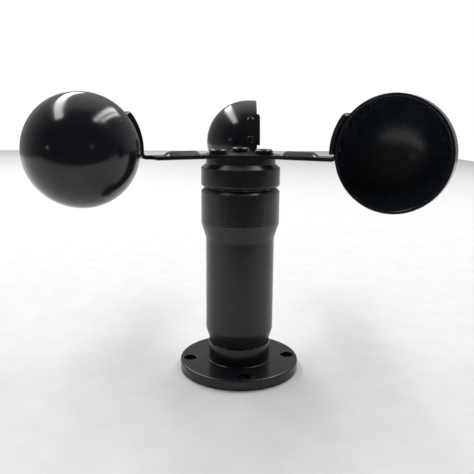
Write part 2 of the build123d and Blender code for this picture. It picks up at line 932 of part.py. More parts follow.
# ---------------------------------------------------------------- all the pieces
def all_pieces():
    rear_cup, left_cup, right_cup = [Rot(0, 0, angle) * cup() for angle in arm_angles()]
    return {
        "base_flange": base_flange(),
        "base_o_ring": base_o_ring(),
        "cable_grommet": cable_grommet(),
        "foot_adapter": foot_adapter(),
        "foot_o_ring": foot_o_ring(),
        "housing_tube": housing_tube(),
        "bearing_carrier": bearing_carrier(),
        "carrier_screws": carrier_screws(),
        "bearing_circlip": bearing_circlip(),
        "outer_spacer": outer_spacer(),
        "upper_outer_ring": outer_ring(upper_bearing_middle),
        "upper_shields": bearing_shields(upper_bearing_middle),
        "upper_cage": ball_cage(upper_bearing_middle),
        "upper_balls": balls(upper_bearing_middle),
        "upper_inner_ring": inner_ring(upper_bearing_middle),
        "lower_outer_ring": outer_ring(lower_bearing_middle),
        "lower_shields": bearing_shields(lower_bearing_middle),
        "lower_cage": ball_cage(lower_bearing_middle),
        "lower_balls": balls(lower_bearing_middle),
        "lower_inner_ring": inner_ring(lower_bearing_middle),
        "sensor_board": sensor_board(),
        "hall_sensor": hall_sensor(),
        "signal_board": signal_board(),
        "microcontroller": microcontroller(),
        "line_driver": line_driver(),
        "voltage_regulator": voltage_regulator(),
        "filter_capacitor": filter_capacitor(),
        "header_socket": header_socket(),
        "header_pins": header_pins(),
        "terminal_block": terminal_block(),
        "terminal_screws": terminal_screws(),
        "board_standoffs": board_standoffs(),
        "board_spacers": board_spacers(),
        "board_screws": board_screws(),
        "rotor_shaft": rotor_shaft(),
        "inner_spacer": inner_spacer(),
        "shaft_circlip": shaft_circlip(),
        "magnet_carrier": magnet_carrier(),
        "magnet_set_screw": magnet_set_screw(),
        "sensor_magnet": sensor_magnet(),
        "hub_sleeve": hub_sleeve(),
        "hub_pin": hub_pin(),
        "retaining_screw": retaining_screw(),
        "retaining_washer": retaining_washer(),
        "rotor_hub": rotor_hub(),
        "hub_screws": hub_screws(),
        "spider_plate": spider_plate(),
        "rear_cup": rear_cup,
        "left_cup": left_cup,
        "right_cup": right_cup,
        "cup_rivets": cup_rivets(),
    }


os.makedirs("parts", exist_ok=True)
for name, shape in all_pieces().items():
    export_step(shape, f"parts/{name}.step")
    print(name, len(shape.solids()), round(shape.volume, 1))
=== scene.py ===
# %% [markdown]
# # A cup anemometer, modelled as by hand
#
# A cup anemometer measures wind speed. Three half-round cups stand on a stamped steel plate,
# the spider, and the wind pushes harder on an open cup than on a round back, so the rotor turns.
# A hub carries the spider on a shaft, and the shaft runs in two ball bearings inside a tubular
# housing that is screwed to a round flange.
#
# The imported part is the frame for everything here. Its nodes are already in the right place, in
# metres, so each new piece is drawn straight onto the node that it stands for.

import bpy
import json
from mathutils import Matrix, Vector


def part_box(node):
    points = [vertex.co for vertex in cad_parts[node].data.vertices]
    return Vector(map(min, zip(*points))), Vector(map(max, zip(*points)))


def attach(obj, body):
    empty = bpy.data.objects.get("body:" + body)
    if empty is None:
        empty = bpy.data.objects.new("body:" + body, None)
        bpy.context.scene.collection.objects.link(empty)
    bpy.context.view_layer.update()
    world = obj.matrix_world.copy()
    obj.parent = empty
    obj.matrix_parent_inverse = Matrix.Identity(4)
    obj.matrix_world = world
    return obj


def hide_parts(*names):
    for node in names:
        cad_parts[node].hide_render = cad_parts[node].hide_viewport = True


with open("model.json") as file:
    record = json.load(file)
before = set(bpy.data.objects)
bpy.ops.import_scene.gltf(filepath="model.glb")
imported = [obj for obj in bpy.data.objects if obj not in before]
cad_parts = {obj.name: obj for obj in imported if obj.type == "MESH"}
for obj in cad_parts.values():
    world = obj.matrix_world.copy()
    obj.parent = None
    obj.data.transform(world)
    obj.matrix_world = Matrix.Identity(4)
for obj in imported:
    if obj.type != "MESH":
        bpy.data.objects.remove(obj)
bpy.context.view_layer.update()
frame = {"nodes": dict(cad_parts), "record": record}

# %%
import json
import math

import bmesh
import bpy
from mathutils import Matrix, Vector

MM = 0.001
FULL_TURN = 2 * math.pi

# %% [markdown]
# ## Small helpers
#
# Blender's edit operators work on whatever is selected. The loaded nodes come in selected, and a
# new primitive is selected all over, so every step starts by clearing the selection and then picks
# faces, edges or corners by their place. A test that says which corners count is enough for that.


# %% Selecting by place
def deselect_all():
    if bpy.context.object and bpy.context.object.mode != "OBJECT":
        bpy.ops.object.mode_set(mode="OBJECT")
    bpy.ops.object.select_all(action="DESELECT")


def select_only(piece):
    deselect_all()
    piece.select_set(True)
    bpy.context.view_layer.objects.active = piece


def work_on(piece):
    """Select one piece alone and open it in edit mode."""
    select_only(piece)
    bpy.ops.object.mode_set(mode="EDIT")


def leave_edit():
    bpy.ops.object.mode_set(mode="OBJECT")


def pick(piece, kind, test):
    """Select the corners, edges or faces whose corners all pass the test."""
    bpy.ops.mesh.select_mode(type=kind)
    bpy.ops.mesh.select_all(action="DESELECT")
    mesh = bmesh.from_edit_mesh(piece.data)
    items = {"VERT": mesh.verts, "EDGE": mesh.edges, "FACE": mesh.faces}[kind]
    for item in items:
        corners = [item] if kind == "VERT" else item.verts
        if all(test(corner.co) for corner in corners):
            item.select_set(True)
    bmesh.update_edit_mesh(piece.data)


def near(a, b, slack=0.02 * MM):
    return abs(a - b) < slack


def radius_of(point):
    return math.hypot(point.x, point.y)


def on_ring(radius, height):
    """Test for corners on a circle about the spin axis."""
    return lambda p: near(radius_of(p), radius) and near(p.z, height)


# %% [markdown]
# A finished piece has its object at the origin, unturned and unscaled, as a CAD node has, so that
# patterns which read object coordinates lie still. Doubles are merged first, because a spin leaves
# a seam, and then the normals are made to point outwards.


# %% Closing and finishing a piece
def close_up():
    """Merge doubled corners and turn every face outwards, in edit mode."""
    bpy.ops.mesh.select_mode(type="VERT")
    bpy.ops.mesh.select_all(action="SELECT")
    bpy.ops.mesh.remove_doubles(threshold=0.001 * MM)
    bpy.ops.mesh.normals_make_consistent(inside=False)
    bpy.ops.mesh.select_all(action="DESELECT")


def apply_place(piece):
    select_only(piece)
    bpy.ops.object.transform_apply(location=True, rotation=True, scale=True)


def apply_modifier(piece, kind, **settings):
    select_only(piece)
    modifier = piece.modifiers.new(kind.lower(), kind)
    for name, value in settings.items():
        setattr(modifier, name, value)
    bpy.ops.object.modifier_apply(modifier=modifier.name)


def smooth(piece, angle=30):
    select_only(piece)
    bpy.ops.object.shade_smooth_by_angle(angle=math.radians(angle))
    apply_modifier(piece, "WEIGHTED_NORMAL", keep_sharp=True)


def hand_over(piece, name, body, material, slot, *nodes):
    """Name a finished piece, paint it, and let it ride and stand for its CAD nodes."""
    piece.name = name
    piece.data.name = name
    piece.data.materials.clear()
    piece.data.materials.append(material)
    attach(piece, body)
    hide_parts(*nodes)
    open_edges = open_edge_count(piece)
    print(name, len(piece.data.polygons), "faces,", open_edges, "open edges")


def open_edge_count(piece):
    mesh = bmesh.new()
    mesh.from_mesh(piece.data)
    count = sum(1 for edge in mesh.edges if len(edge.link_faces) != 2)
    mesh.free()
    return count


# %% [markdown]
# ## Shared shader effects
#
# Each effect that several finishes use is a node group that is built once. A group only puts out
# masks and heights. The Principled shader itself stays in each material.


# %% A small node group kit
def new_group(name, numbers, results):
    """Group that takes a vector and some named numbers, and puts out its named results."""
    group = bpy.data.node_groups.new(name, "ShaderNodeTree")
    group.interface.new_socket(name="Vector", in_out="INPUT", socket_type="NodeSocketVector")
    for label, value in numbers.items():
        socket = group.interface.new_socket(name=label, in_out="INPUT", socket_type="NodeSocketFloat")
        socket.default_value = value
    for label in results:
        group.interface.new_socket(name=label, in_out="OUTPUT", socket_type="NodeSocketFloat")
    return group, group.nodes.new("NodeGroupInput"), group.nodes.new("NodeGroupOutput")


def feed(tree, value, socket):
    """Link a socket to the value, or set the value if it is a plain number or colour."""
    if isinstance(value, (int, float)):
        socket.default_value = value
    elif isinstance(value, tuple):
        socket.default_value = (*value, 1.0)
    else:
        tree.links.new(value, socket)


def add_math(tree, operation, *values):
    """Math node whose inputs may be sockets or plain numbers."""
    node = tree.nodes.new("ShaderNodeMath")
    node.operation = operation
    for socket, value in zip(node.inputs, values):
        feed(tree, value, socket)
    return node.outputs[0]


def add_noise(tree, vector, scale, detail=2.0, roughness=0.5):
    node = tree.nodes.new("ShaderNodeTexNoise")
    node.inputs["Scale"].default_value = scale
    node.inputs["Detail"].default_value = detail
    node.inputs["Roughness"].default_value = roughness
    tree.links.new(vector, node.inputs["Vector"])
    return node.outputs["Fac"]


def add_range(tree, value, low, high, to_low=0.0, to_high=1.0):
    """Smooth step of a value from one range to another."""
    node = tree.nodes.new("ShaderNodeMapRange")
    node.interpolation_type = "SMOOTHSTEP"
    for label, number in (("From Min", low), ("From Max", high), ("To Min", to_low), ("To Max", to_high)):
        feed(tree, number, node.inputs[label])
    tree.links.new(value, node.inputs["Value"])
    return node.outputs["Result"]


def split_vector(tree, vector):
    node = tree.nodes.new("ShaderNodeSeparateXYZ")
    tree.links.new(vector, node.inputs[0])
    return node.outputs


def add_radius(tree, point):
    """Distance of a split point from the spin axis."""
    flat = tree.nodes.new("ShaderNodeCombineXYZ")
    for axis in "XY":
        tree.links.new(point[axis], flat.inputs[axis])
    length = tree.nodes.new("ShaderNodeVectorMath")
    length.operation = "LENGTH"
    tree.links.new(flat.outputs[0], length.inputs[0])
    return length.outputs["Value"]


def add_scale(tree, vector, per_mm):
    """Vector scaled so that a pattern of size 1 comes a number of times in a millimetre."""
    node = tree.nodes.new("ShaderNodeVectorMath")
    node.operation = "SCALE"
    tree.links.new(vector, node.inputs[0])
    tree.links.new(add_math(tree, "MULTIPLY", per_mm, 1 / MM), node.inputs["Scale"])
    return node.outputs[0]


# %% [markdown]
# ### Turning marks
#
# A lathe leaves very fine rings round the spin axis. They depend only on the radius and the height
# of a point, so a noise texture read at (radius, 0, height) gives rings. A second, weaker noise
# that also follows the angle breaks them up, as a real cut never runs quite evenly.


# %%
def make_turning_marks():
    group, given, out = new_group("turning_marks", {"Rings per mm": 4.0}, ("Height", "Streaks"))
    point = split_vector(group, given.outputs["Vector"])
    ring_point = group.nodes.new("ShaderNodeCombineXYZ")
    group.links.new(add_radius(group, point), ring_point.inputs["X"])
    group.links.new(point["Z"], ring_point.inputs["Z"])
    in_mm = add_scale(group, ring_point.outputs[0], given.outputs["Rings per mm"])
    rings = add_noise(group, in_mm, 1.0, detail=3.0, roughness=0.7)
    uneven = add_noise(group, given.outputs["Vector"], 160.0, detail=2.0)
    strength = add_range(group, uneven, 0.3, 0.7, 0.4, 1.0)
    centred = add_math(group, "SUBTRACT", rings, 0.5)
    height = add_math(group, "MULTIPLY", centred, strength)
    streaks = add_range(group, rings, 0.35, 0.7)
    group.links.new(height, out.inputs["Height"])
    group.links.new(streaks, out.inputs["Streaks"])
    return group


turning_marks = make_turning_marks()

# %% [markdown]
# ### Dust and fine grain
#
# Black parts show every speck. Specks of dust are a field of tiny round cells of which only a few
# are kept, on every face. A thin film of it lies on faces that look up. Grain is a fine noise that
# gives a sprayed or blasted coat its slight sparkle.


# %%
def make_dust():
    group, given, out = new_group("dust", {"Amount": 0.3}, ("Specks", "Film"))
    cells = group.nodes.new("ShaderNodeTexVoronoi")
    cells.inputs["Scale"].default_value = 420.0
    group.links.new(given.outputs["Vector"], cells.inputs["Vector"])
    dot = add_range(group, cells.outputs["Distance"], 0.06, 0.13, 1.0, 0.0)
    shade = group.nodes.new("ShaderNodeSeparateColor")
    group.links.new(cells.outputs["Color"], shade.inputs[0])
    kept = add_math(group, "LESS_THAN", shade.outputs[0], given.outputs["Amount"])
    specks = add_math(group, "MULTIPLY", dot, kept)
    facing = group.nodes.new("ShaderNodeNewGeometry")
    normal = split_vector(group, facing.outputs["Normal"])
    upward = add_range(group, normal["Z"], 0.1, 0.95)
    clouds = add_noise(group, given.outputs["Vector"], 90.0, detail=4.0, roughness=0.6)
    film = add_math(group, "MULTIPLY", upward, add_range(group, clouds, 0.35, 0.75))
    group.links.new(specks, out.inputs["Specks"])
    group.links.new(film, out.inputs["Film"])
    return group


def make_grain():
    group, given, out = new_group("grain", {"Grains per mm": 5.0}, ("Height", "Patches"))
    in_mm = add_scale(group, given.outputs["Vector"], given.outputs["Grains per mm"])
    fine = add_noise(group, in_mm, 1.0, detail=2.0, roughness=0.6)
    patches = add_noise(group, given.outputs["Vector"], 60.0, detail=3.0)
    group.links.new(fine, out.inputs["Height"])
    group.links.new(add_range(group, patches, 0.3, 0.7), out.inputs["Patches"])
    return group


dust = make_dust()
grain = make_grain()

# %% [markdown]
# ### Worn edges
#
# The coat is thinnest where two faces meet, so handling rubs corners first. On a turned piece each
# corner is a circle of known radius and height about the spin axis, so the distance to that circle
# tells how near a point is to the corner. Noise makes the rubbed line uneven.


# %%
def make_worn_ring():
    sizes = {"Radius": 0.02, "Height": 0.1, "Width": 0.0006}
    group, given, out = new_group("worn_ring", sizes, ("Wear",))
    point = split_vector(group, given.outputs["Vector"])
    across = add_math(group, "SUBTRACT", add_radius(group, point), given.outputs["Radius"])
    along = add_math(group, "SUBTRACT", point["Z"], given.outputs["Height"])
    squares = [add_math(group, "MULTIPLY", side, side) for side in (across, along)]
    away = add_math(group, "SQRT", add_math(group, "ADD", *squares))
    close = add_range(group, away, 0.0, given.outputs["Width"], 1.0, 0.0)
    patchy = add_noise(group, given.outputs["Vector"], 700.0, detail=3.0, roughness=0.65)
    rubbed = add_math(group, "MULTIPLY", close, add_range(group, patchy, 0.42, 0.66))
    group.links.new(rubbed, out.inputs["Wear"])
    return group


worn_ring = make_worn_ring()

# %% [markdown]
# ## Finishes
#
# A small kit starts each material: its Principled shader, the object coordinates that all
# patterns read, and one helper that places a shared group. What is the same all over a surface is
# set on the shader's own socket, and only what changes over the surface is linked.


# %%
def new_material(name, roughness, metallic=0.0, specular=0.5):
    material = bpy.data.materials.new(name)
    material.use_nodes = True
    shader = material.node_tree.nodes["Principled BSDF"]
    shader.inputs["Roughness"].default_value = roughness
    shader.inputs["Metallic"].default_value = metallic
    shader.inputs["Specular IOR Level"].default_value = specular
    shader.inputs["IOR"].default_value = 1.5
    place = material.node_tree.nodes.new("ShaderNodeTexCoord")
    return material, material.node_tree, shader, place.outputs["Object"]


def use_group(tree, group, vector, **values):
    node = tree.nodes.new("ShaderNodeGroup")
    node.node_tree = group
    tree.links.new(vector, node.inputs["Vector"])
    for label, value in values.items():
        node.inputs[label.replace("_", " ")].default_value = value
    return node.outputs


def blend_colour(tree, mask, low, high):
    """Colour that goes from low to high with a mask. Either may be a socket."""
    node = tree.nodes.new("ShaderNodeMix")
    node.data_type = "RGBA"
    tree.links.new(mask, node.inputs["Factor"])
    feed(tree, low, node.inputs[6])
    feed(tree, high, node.inputs[7])
    return node.outputs[2]


def dress(tree, shader, colour, roughness):
    tree.links.new(colour, shader.inputs["Base Color"])
    tree.links.new(roughness, shader.inputs["Roughness"])


def add_bump(tree, shader, height, distance, strength=1.0, before=None):
    node = tree.nodes.new("ShaderNodeBump")
    node.inputs["Distance"].default_value = distance
    node.inputs["Strength"].default_value = strength
    tree.links.new(height, node.inputs["Height"])
    if before is not None:
        tree.links.new(before, node.inputs["Normal"])
    tree.links.new(node.outputs[0], shader.inputs["Normal"])
    return node.outputs[0]


# %% [markdown]
# ### Black anodised aluminium
#
# Flange, foot, housing and hub are turned from bar and anodised black: a dark satin coat in which
# the turning marks still show as faint rings, a little lighter where the rings have caught polish.
# Corners are worn to a dull grey in places. The corners are given as (radius, height) in mm.


# %%
def make_black_anodised(name, corners=(), polish=(0.27, 0.3)):
    """Anodised black with worn corners. The polish is its least and greatest roughness."""
    material, tree, shader, place = new_material(name, roughness=polish[1])
    marks = use_group(tree, turning_marks, place, Rings_per_mm=3.2)
    specks = use_group(tree, dust, place, Amount=0.05)
    patches = use_group(tree, grain, place, Grains_per_mm=6.0)
    colour = blend_colour(tree, marks["Streaks"], (0.0055, 0.0052, 0.0090), (0.0088, 0.0084, 0.0124))
    colour = blend_colour(tree, patches["Patches"], colour, (0.0082, 0.0078, 0.0117))
    wear = None
    for radius, height in corners:
        corner = {"Radius": radius * MM, "Height": height * MM, "Width": 0.45 * MM}
        ring = use_group(tree, worn_ring, place, **corner)["Wear"]
        wear = ring if wear is None else add_math(tree, "MAXIMUM", wear, ring)
    rough = add_range(tree, marks["Streaks"], 0.0, 1.0, *polish)
    if wear is not None:
        colour = blend_colour(tree, wear, colour, (0.11, 0.11, 0.115))
    haze = add_math(tree, "MULTIPLY", specks["Film"], 0.14)
    colour = blend_colour(tree, haze, colour, (0.05, 0.05, 0.052))
    colour = blend_colour(tree, specks["Specks"], colour, (0.2, 0.2, 0.19))
    duller = add_math(tree, "MULTIPLY", specks["Film"], 0.08)
    dress(tree, shader, colour, add_math(tree, "ADD", rough, duller))
    first = add_bump(tree, shader, marks["Height"], 0.0007 * MM)
    add_bump(tree, shader, patches["Height"], 0.003 * MM, before=first)
    return material


# %% [markdown]
# ### Powder-coated sheet
#
# The spider is stamped from sheet and powder coated. The coat flows out to a very slight orange
# peel, glossier than the anodised parts when seen at a flat angle.


# %%
def make_black_sheet():
    material, tree, shader, place = new_material("black_sheet", roughness=0.3)
    coat = use_group(tree, grain, place, Grains_per_mm=2.2)
    specks = use_group(tree, dust, place, Amount=0.07)
    colour = blend_colour(tree, coat["Patches"], (0.0052, 0.0050, 0.0084), (0.0080, 0.0077, 0.0112))
    film = add_math(tree, "MULTIPLY", specks["Film"], 0.12)
    colour = blend_colour(tree, film, colour, (0.05, 0.05, 0.052))
    colour = blend_colour(tree, specks["Specks"], colour, (0.22, 0.22, 0.21))
    dress(tree, shader, colour, add_range(tree, coat["Patches"], 0.0, 1.0, 0.22, 0.31))
    add_bump(tree, shader, coat["Height"], 0.02 * MM)
    return material


# %% [markdown]
# ### Moulded cup plastic
#
# The cups are injection moulded in glossy black plastic. A polished mould gives a nearly mirror
# smooth skin, with slow waves where the wall cooled unevenly, hair-fine handling scratches that
# only change the roughness, and a few specks of dust. The inside is less polished, because the
# core of the mould is, and its colour is a lighter teal, a painted sheen of the room's light. An
# attribute on the cup's mesh, 1 inside and 0 outside, tells which is which.


# %%
def make_cup_plastic():
    material, tree, shader, place = new_material("cup_plastic", roughness=0.16)
    skin = use_group(tree, grain, place, Grains_per_mm=1.1)
    specks = use_group(tree, dust, place, Amount=0.035)
    waves = add_noise(tree, place, 45.0, detail=1.0)
    stretched = tree.nodes.new("ShaderNodeMapping")
    stretched.inputs["Scale"].default_value = (2600.0, 260.0, 900.0)
    stretched.inputs["Rotation"].default_value = (0.4, 0.7, 0.2)
    tree.links.new(place, stretched.inputs["Vector"])
    hair = add_range(tree, add_noise(tree, stretched.outputs[0], 1.0, detail=2.0), 0.62, 0.72)
    colour = blend_colour(tree, skin["Patches"], (0.0064, 0.0060, 0.0110), (0.0088, 0.0084, 0.0138))
    inside = tree.nodes.new("ShaderNodeAttribute")
    inside.attribute_name = "inside"
    # Painted sheen: the inner wall is painted a lighter teal than the outer wall, standing in for room light
    # reflected inside the cup.
    colour = blend_colour(tree, inside.outputs["Fac"], colour, (0.019, 0.025, 0.033))
    colour = blend_colour(tree, specks["Specks"], colour, (0.16, 0.16, 0.16))
    rough = add_range(tree, skin["Patches"], 0.0, 1.0, 0.13, 0.19)
    rough = add_math(tree, "ADD", rough, add_math(tree, "MULTIPLY", inside.outputs["Fac"], 0.1))
    rough = add_math(tree, "ADD", rough, add_math(tree, "MULTIPLY", hair, 0.07))
    dress(tree, shader, colour, rough)
    first = add_bump(tree, shader, waves, 0.25 * MM, strength=0.35)
    add_bump(tree, shader, skin["Height"], 0.003 * MM, before=first)
    return material


# %% [markdown]
# ### Black fasteners, rubber, and the metals and boards inside
#
# Fasteners are oiled black oxide: darker, smoother, with bright rubbed spots. Rubber is dull with
# a bloom of fine powder. The inner pieces are seldom seen, but each gets its own plain finish with
# the marks of how it was made: brushed or turned metal, glass-fibre board under green mask with
# its copper showing as faint tracks, and moulded plastic.


# %%
def make_black_fastener():
    material, tree, shader, place = new_material("black_fastener", roughness=0.3)
    skin = use_group(tree, grain, place, Grains_per_mm=7.0)
    rubbed = add_range(tree, add_noise(tree, place, 900.0, detail=3.0), 0.62, 0.74, 0.0, 0.35)
    colour = blend_colour(tree, skin["Patches"], (0.0035, 0.0035, 0.0055), (0.007, 0.007, 0.009))
    colour = blend_colour(tree, rubbed, colour, (0.07, 0.07, 0.07))
    dress(tree, shader, colour, add_range(tree, skin["Patches"], 0.0, 1.0, 0.24, 0.36))
    add_bump(tree, shader, skin["Height"], 0.006 * MM)
    return material


def make_rubber(name, dark, light):
    material, tree, shader, place = new_material(name, roughness=0.75, specular=0.35)
    skin = use_group(tree, grain, place, Grains_per_mm=4.0)
    specks = use_group(tree, dust, place, Amount=0.12)
    colour = blend_colour(tree, skin["Patches"], dark, light)
    colour = blend_colour(tree, specks["Specks"], colour, (0.2, 0.2, 0.19))
    dress(tree, shader, colour, add_range(tree, skin["Patches"], 0.0, 1.0, 0.68, 0.85))
    add_bump(tree, shader, skin["Height"], 0.03 * MM)
    return material


def make_bare_metal(name, dark, light, low, high, rings):
    material, tree, shader, place = new_material(name, roughness=high, metallic=1.0)
    marks = use_group(tree, turning_marks, place, Rings_per_mm=rings)
    skin = use_group(tree, grain, place, Grains_per_mm=5.0)
    colour = blend_colour(tree, marks["Streaks"], dark, light)
    dress(tree, shader, colour, add_range(tree, skin["Patches"], 0.0, 1.0, low, high))
    add_bump(tree, shader, marks["Height"], 0.01 * MM)
    return material


def make_moulded(name, dark, light, roughness):
    material, tree, shader, place = new_material(name, roughness=roughness)
    skin = use_group(tree, grain, place, Grains_per_mm=6.0)
    colour = blend_colour(tree, skin["Patches"], dark, light)
    rough = add_range(tree, skin["Patches"], 0.0, 1.0, roughness - 0.06, roughness + 0.06)
    dress(tree, shader, colour, rough)
    add_bump(tree, shader, skin["Height"], 0.012 * MM)
    return material


def make_board():
    """Green mask with tracks: two crossed bands of stripes broken up by coarse cells."""
    material, tree, shader, place = new_material("board_laminate", roughness=0.35)
    stripes = []
    for direction in ("X", "Y"):
        wave = tree.nodes.new("ShaderNodeTexWave")
        wave.bands_direction = direction
        wave.inputs["Scale"].default_value = 260.0
        tree.links.new(place, wave.inputs["Vector"])
        stripes.append(add_range(tree, wave.outputs["Fac"], 0.55, 0.65))
    cells = add_noise(tree, place, 180.0, detail=0.0)
    choose = add_math(tree, "GREATER_THAN", cells, 0.5)
    tracks = add_math(
        tree,
        "ADD",
        add_math(tree, "MULTIPLY", stripes[0], choose),
        add_math(tree, "MULTIPLY", stripes[1], add_math(tree, "SUBTRACT", 1.0, choose)),
    )
    weave = use_group(tree, grain, place, Grains_per_mm=2.5)
    colour = blend_colour(tree, tracks, (0.006, 0.09, 0.03), (0.018, 0.17, 0.055))
    dress(tree, shader, colour, add_range(tree, weave["Patches"], 0.0, 1.0, 0.3, 0.42))
    add_bump(tree, shader, tracks, 0.03 * MM)
    return material


# %% [markdown]
# The finishes of the pieces that keep their CAD shape go straight onto those nodes. The record
# names one material slot for every node, so one table from slot to finish dresses them all.

# %%
METALS = {
    "plain_aluminium": ((0.62, 0.63, 0.64), (0.8, 0.8, 0.81), 0.22, 0.38, 5.0),
    "bearing_steel": ((0.46, 0.46, 0.47), (0.64, 0.64, 0.65), 0.14, 0.26, 8.0),
    "ball_steel": ((0.7, 0.7, 0.71), (0.8, 0.8, 0.81), 0.04, 0.09, 2.0),
    "shaft_steel": ((0.5, 0.5, 0.5), (0.66, 0.66, 0.66), 0.18, 0.32, 7.0),
    "spring_steel": ((0.12, 0.12, 0.13), (0.22, 0.22, 0.23), 0.3, 0.45, 5.0),
    "brass": ((0.62, 0.44, 0.17), (0.8, 0.6, 0.27), 0.2, 0.34, 6.0),
    "magnet": ((0.09, 0.09, 0.1), (0.16, 0.16, 0.17), 0.4, 0.55, 3.0),
}
PLASTICS = {
    "chip_plastic": ((0.012, 0.012, 0.013), (0.024, 0.024, 0.025), 0.5),
    "capacitor_sleeve": ((0.012, 0.016, 0.05), (0.022, 0.028, 0.08), 0.25),
    "terminal_plastic": ((0.015, 0.16, 0.06), (0.025, 0.22, 0.085), 0.4),
    "carrier_plastic": ((0.6, 0.58, 0.53), (0.7, 0.69, 0.65), 0.45),
}
finishes = {"seal_rubber": make_rubber("seal_rubber", (0.008, 0.008, 0.008), (0.018, 0.018, 0.018))}
finishes.update((name, make_bare_metal(name, *look)) for name, look in METALS.items())
finishes["board_laminate"] = make_board()
finishes.update((name, make_moulded(name, *look)) for name, look in PLASTICS.items())
finishes["black_fastener"] = make_black_fastener()
finishes["black_sheet"] = make_black_sheet()
finishes["cup_plastic"] = make_cup_plastic()
slot_of = {part["node"]: part["material_slot"] for part in frame["record"]["subparts"]}
for node_name, node in frame["nodes"].items():
    finish = finishes.get(slot_of[node_name])
    if finish is not None:
        node.data.materials.clear()
        node.data.materials.append(finish)
print(len(finishes), "finishes for", len(slot_of), "nodes")

# %% [markdown]
# ## Turned pieces
#
# A turned piece is a section spun round the axis of the lathe. By hand, one corner is placed and
# extruded along the section, and the spin operator then turns the line of corners into a solid.
# The sharp rings are picked by radius and height and bevelled, because a real cutter never leaves
# a perfect corner and it is the small bevel that catches the light.

# %%
TURN_STEPS = 128


def draw_section(points):
    """One corner extruded along (radius, height) points in mm. Leaves the piece in edit mode."""
    deselect_all()
    radius, height = points[0]
    bpy.ops.mesh.primitive_plane_add(size=MM, location=(0, 0, 0))
    piece = bpy.context.object
    work_on(piece)
    bpy.ops.mesh.select_mode(type="VERT")
    bpy.ops.mesh.select_all(action="SELECT")
    bpy.ops.mesh.merge(type="CENTER")
    bpy.ops.transform.translate(value=(radius * MM, 0, height * MM))
    for next_radius, next_height in points[1:]:
        step = ((next_radius - radius) * MM, 0, (next_height - height) * MM)
        bpy.ops.mesh.extrude_vertices_move(TRANSFORM_OT_translate={"value": step})
        radius, height = next_radius, next_height
    return piece


def spin_section(steps):
    bpy.ops.mesh.select_all(action="SELECT")
    bpy.ops.mesh.spin(steps=steps, angle=FULL_TURN, center=(0, 0, 0), axis=(0, 0, 1))
    close_up()


def bevel_picked(width, segments=4):
    bpy.ops.mesh.bevel(offset=width * MM, segments=segments, profile=0.5, affect="EDGES")


def turn(points, bevels, steps=TURN_STEPS):
    """Spin a closed section of (radius, height) points in mm, then bevel some of its rings.

    Each bevel is (radius, height, width) in mm.
    """
    piece = draw_section([*points, points[0]])
    spin_section(steps)
    for ring_radius, ring_height, width in bevels:
        pick(piece, "EDGE", on_ring(ring_radius * MM, ring_height * MM))
        bevel_picked(width)
    leave_edit()
    return piece


# %% [markdown]
# ### The flange
#
# A round plate with a raised boss in one piece. The boss has a socket that the foot's spigot goes
# into, and the underside has a recess and a hole for the cable grommet. Radii and heights that
# the frame knows are read from it, and the rest repeat the part's own sizes.

# %%
flange_low, flange_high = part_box("base_flange")
FLANGE_RADIUS = flange_high.x / MM
BOSS_TOP = flange_high.z / MM
FLANGE_THICKNESS = 5.5
BOSS_RADIUS = 16.9
SOCKET_RADIUS = 13.95
SOCKET_FLOOR = 4.0
CABLE_HOLE_RADIUS = 6.0
GROMMET_RECESS_RADIUS = 9.5
GROMMET_RECESS_DEPTH = 1.6

flange = turn(
    [
        (CABLE_HOLE_RADIUS, GROMMET_RECESS_DEPTH),
        (GROMMET_RECESS_RADIUS, GROMMET_RECESS_DEPTH),
        (GROMMET_RECESS_RADIUS, 0),
        (FLANGE_RADIUS, 0),
        (FLANGE_RADIUS, FLANGE_THICKNESS),
        (BOSS_RADIUS, FLANGE_THICKNESS),
        (BOSS_RADIUS, BOSS_TOP),
        (SOCKET_RADIUS, BOSS_TOP),
        (SOCKET_RADIUS, SOCKET_FLOOR),
        (CABLE_HOLE_RADIUS, SOCKET_FLOOR),
    ],
    [
        (FLANGE_RADIUS, FLANGE_THICKNESS, 0.8),
        (FLANGE_RADIUS, 0, 0.3),
        (BOSS_RADIUS, BOSS_TOP, 0.8),
        (BOSS_RADIUS, FLANGE_THICKNESS, 0.4),
        (GROMMET_RECESS_RADIUS, 0, 0.25),
    ],
)

# %% [markdown]
# Four bolt holes go through the rim. A drill is a plain cylinder that a Boolean difference takes out
# of the piece, a new one for each hole. Each hole's mouth is then picked by its distance from the
# hole's axis and bevelled, as a countersink that takes off the burr.

# %%
BOLT_HOLE_RADIUS = 3.5
BOLT_CIRCLE_RADIUS = 27.0
BOLT_COUNT = 4
DRILL_OVERRUN = 2


def on_circle(radius, angle):
    """Place on a circle about the spin axis, from a radius in mm."""
    return Vector((math.cos(angle), math.sin(angle), 0)) * radius * MM


def add_cylinder(radius, low, high, vertices=48, place=(0, 0)):
    """Upright cylinder. Radius and heights are in mm, the place in metres."""
    deselect_all()
    bpy.ops.mesh.primitive_cylinder_add(
        vertices=vertices,
        radius=radius * MM,
        depth=(high - low) * MM,
        location=(place[0], place[1], (low + high) / 2 * MM),
    )
    piece = bpy.context.object
    apply_place(piece)
    return piece


def cut_away(piece, tool):
    """Take the tool's shape out of a piece, and use the tool up."""
    apply_modifier(piece, "BOOLEAN", operation="DIFFERENCE", object=tool, solver="EXACT")
    bpy.data.objects.remove(tool)


def bevel_mouth(piece, place, radius, height, width):
    work_on(piece)
    rim = lambda p: near(p.z, height * MM) and near(math.hypot(p.x - place.x, p.y - place.y), radius * MM)
    pick(piece, "EDGE", rim)
    bevel_picked(width, segments=2)
    leave_edit()


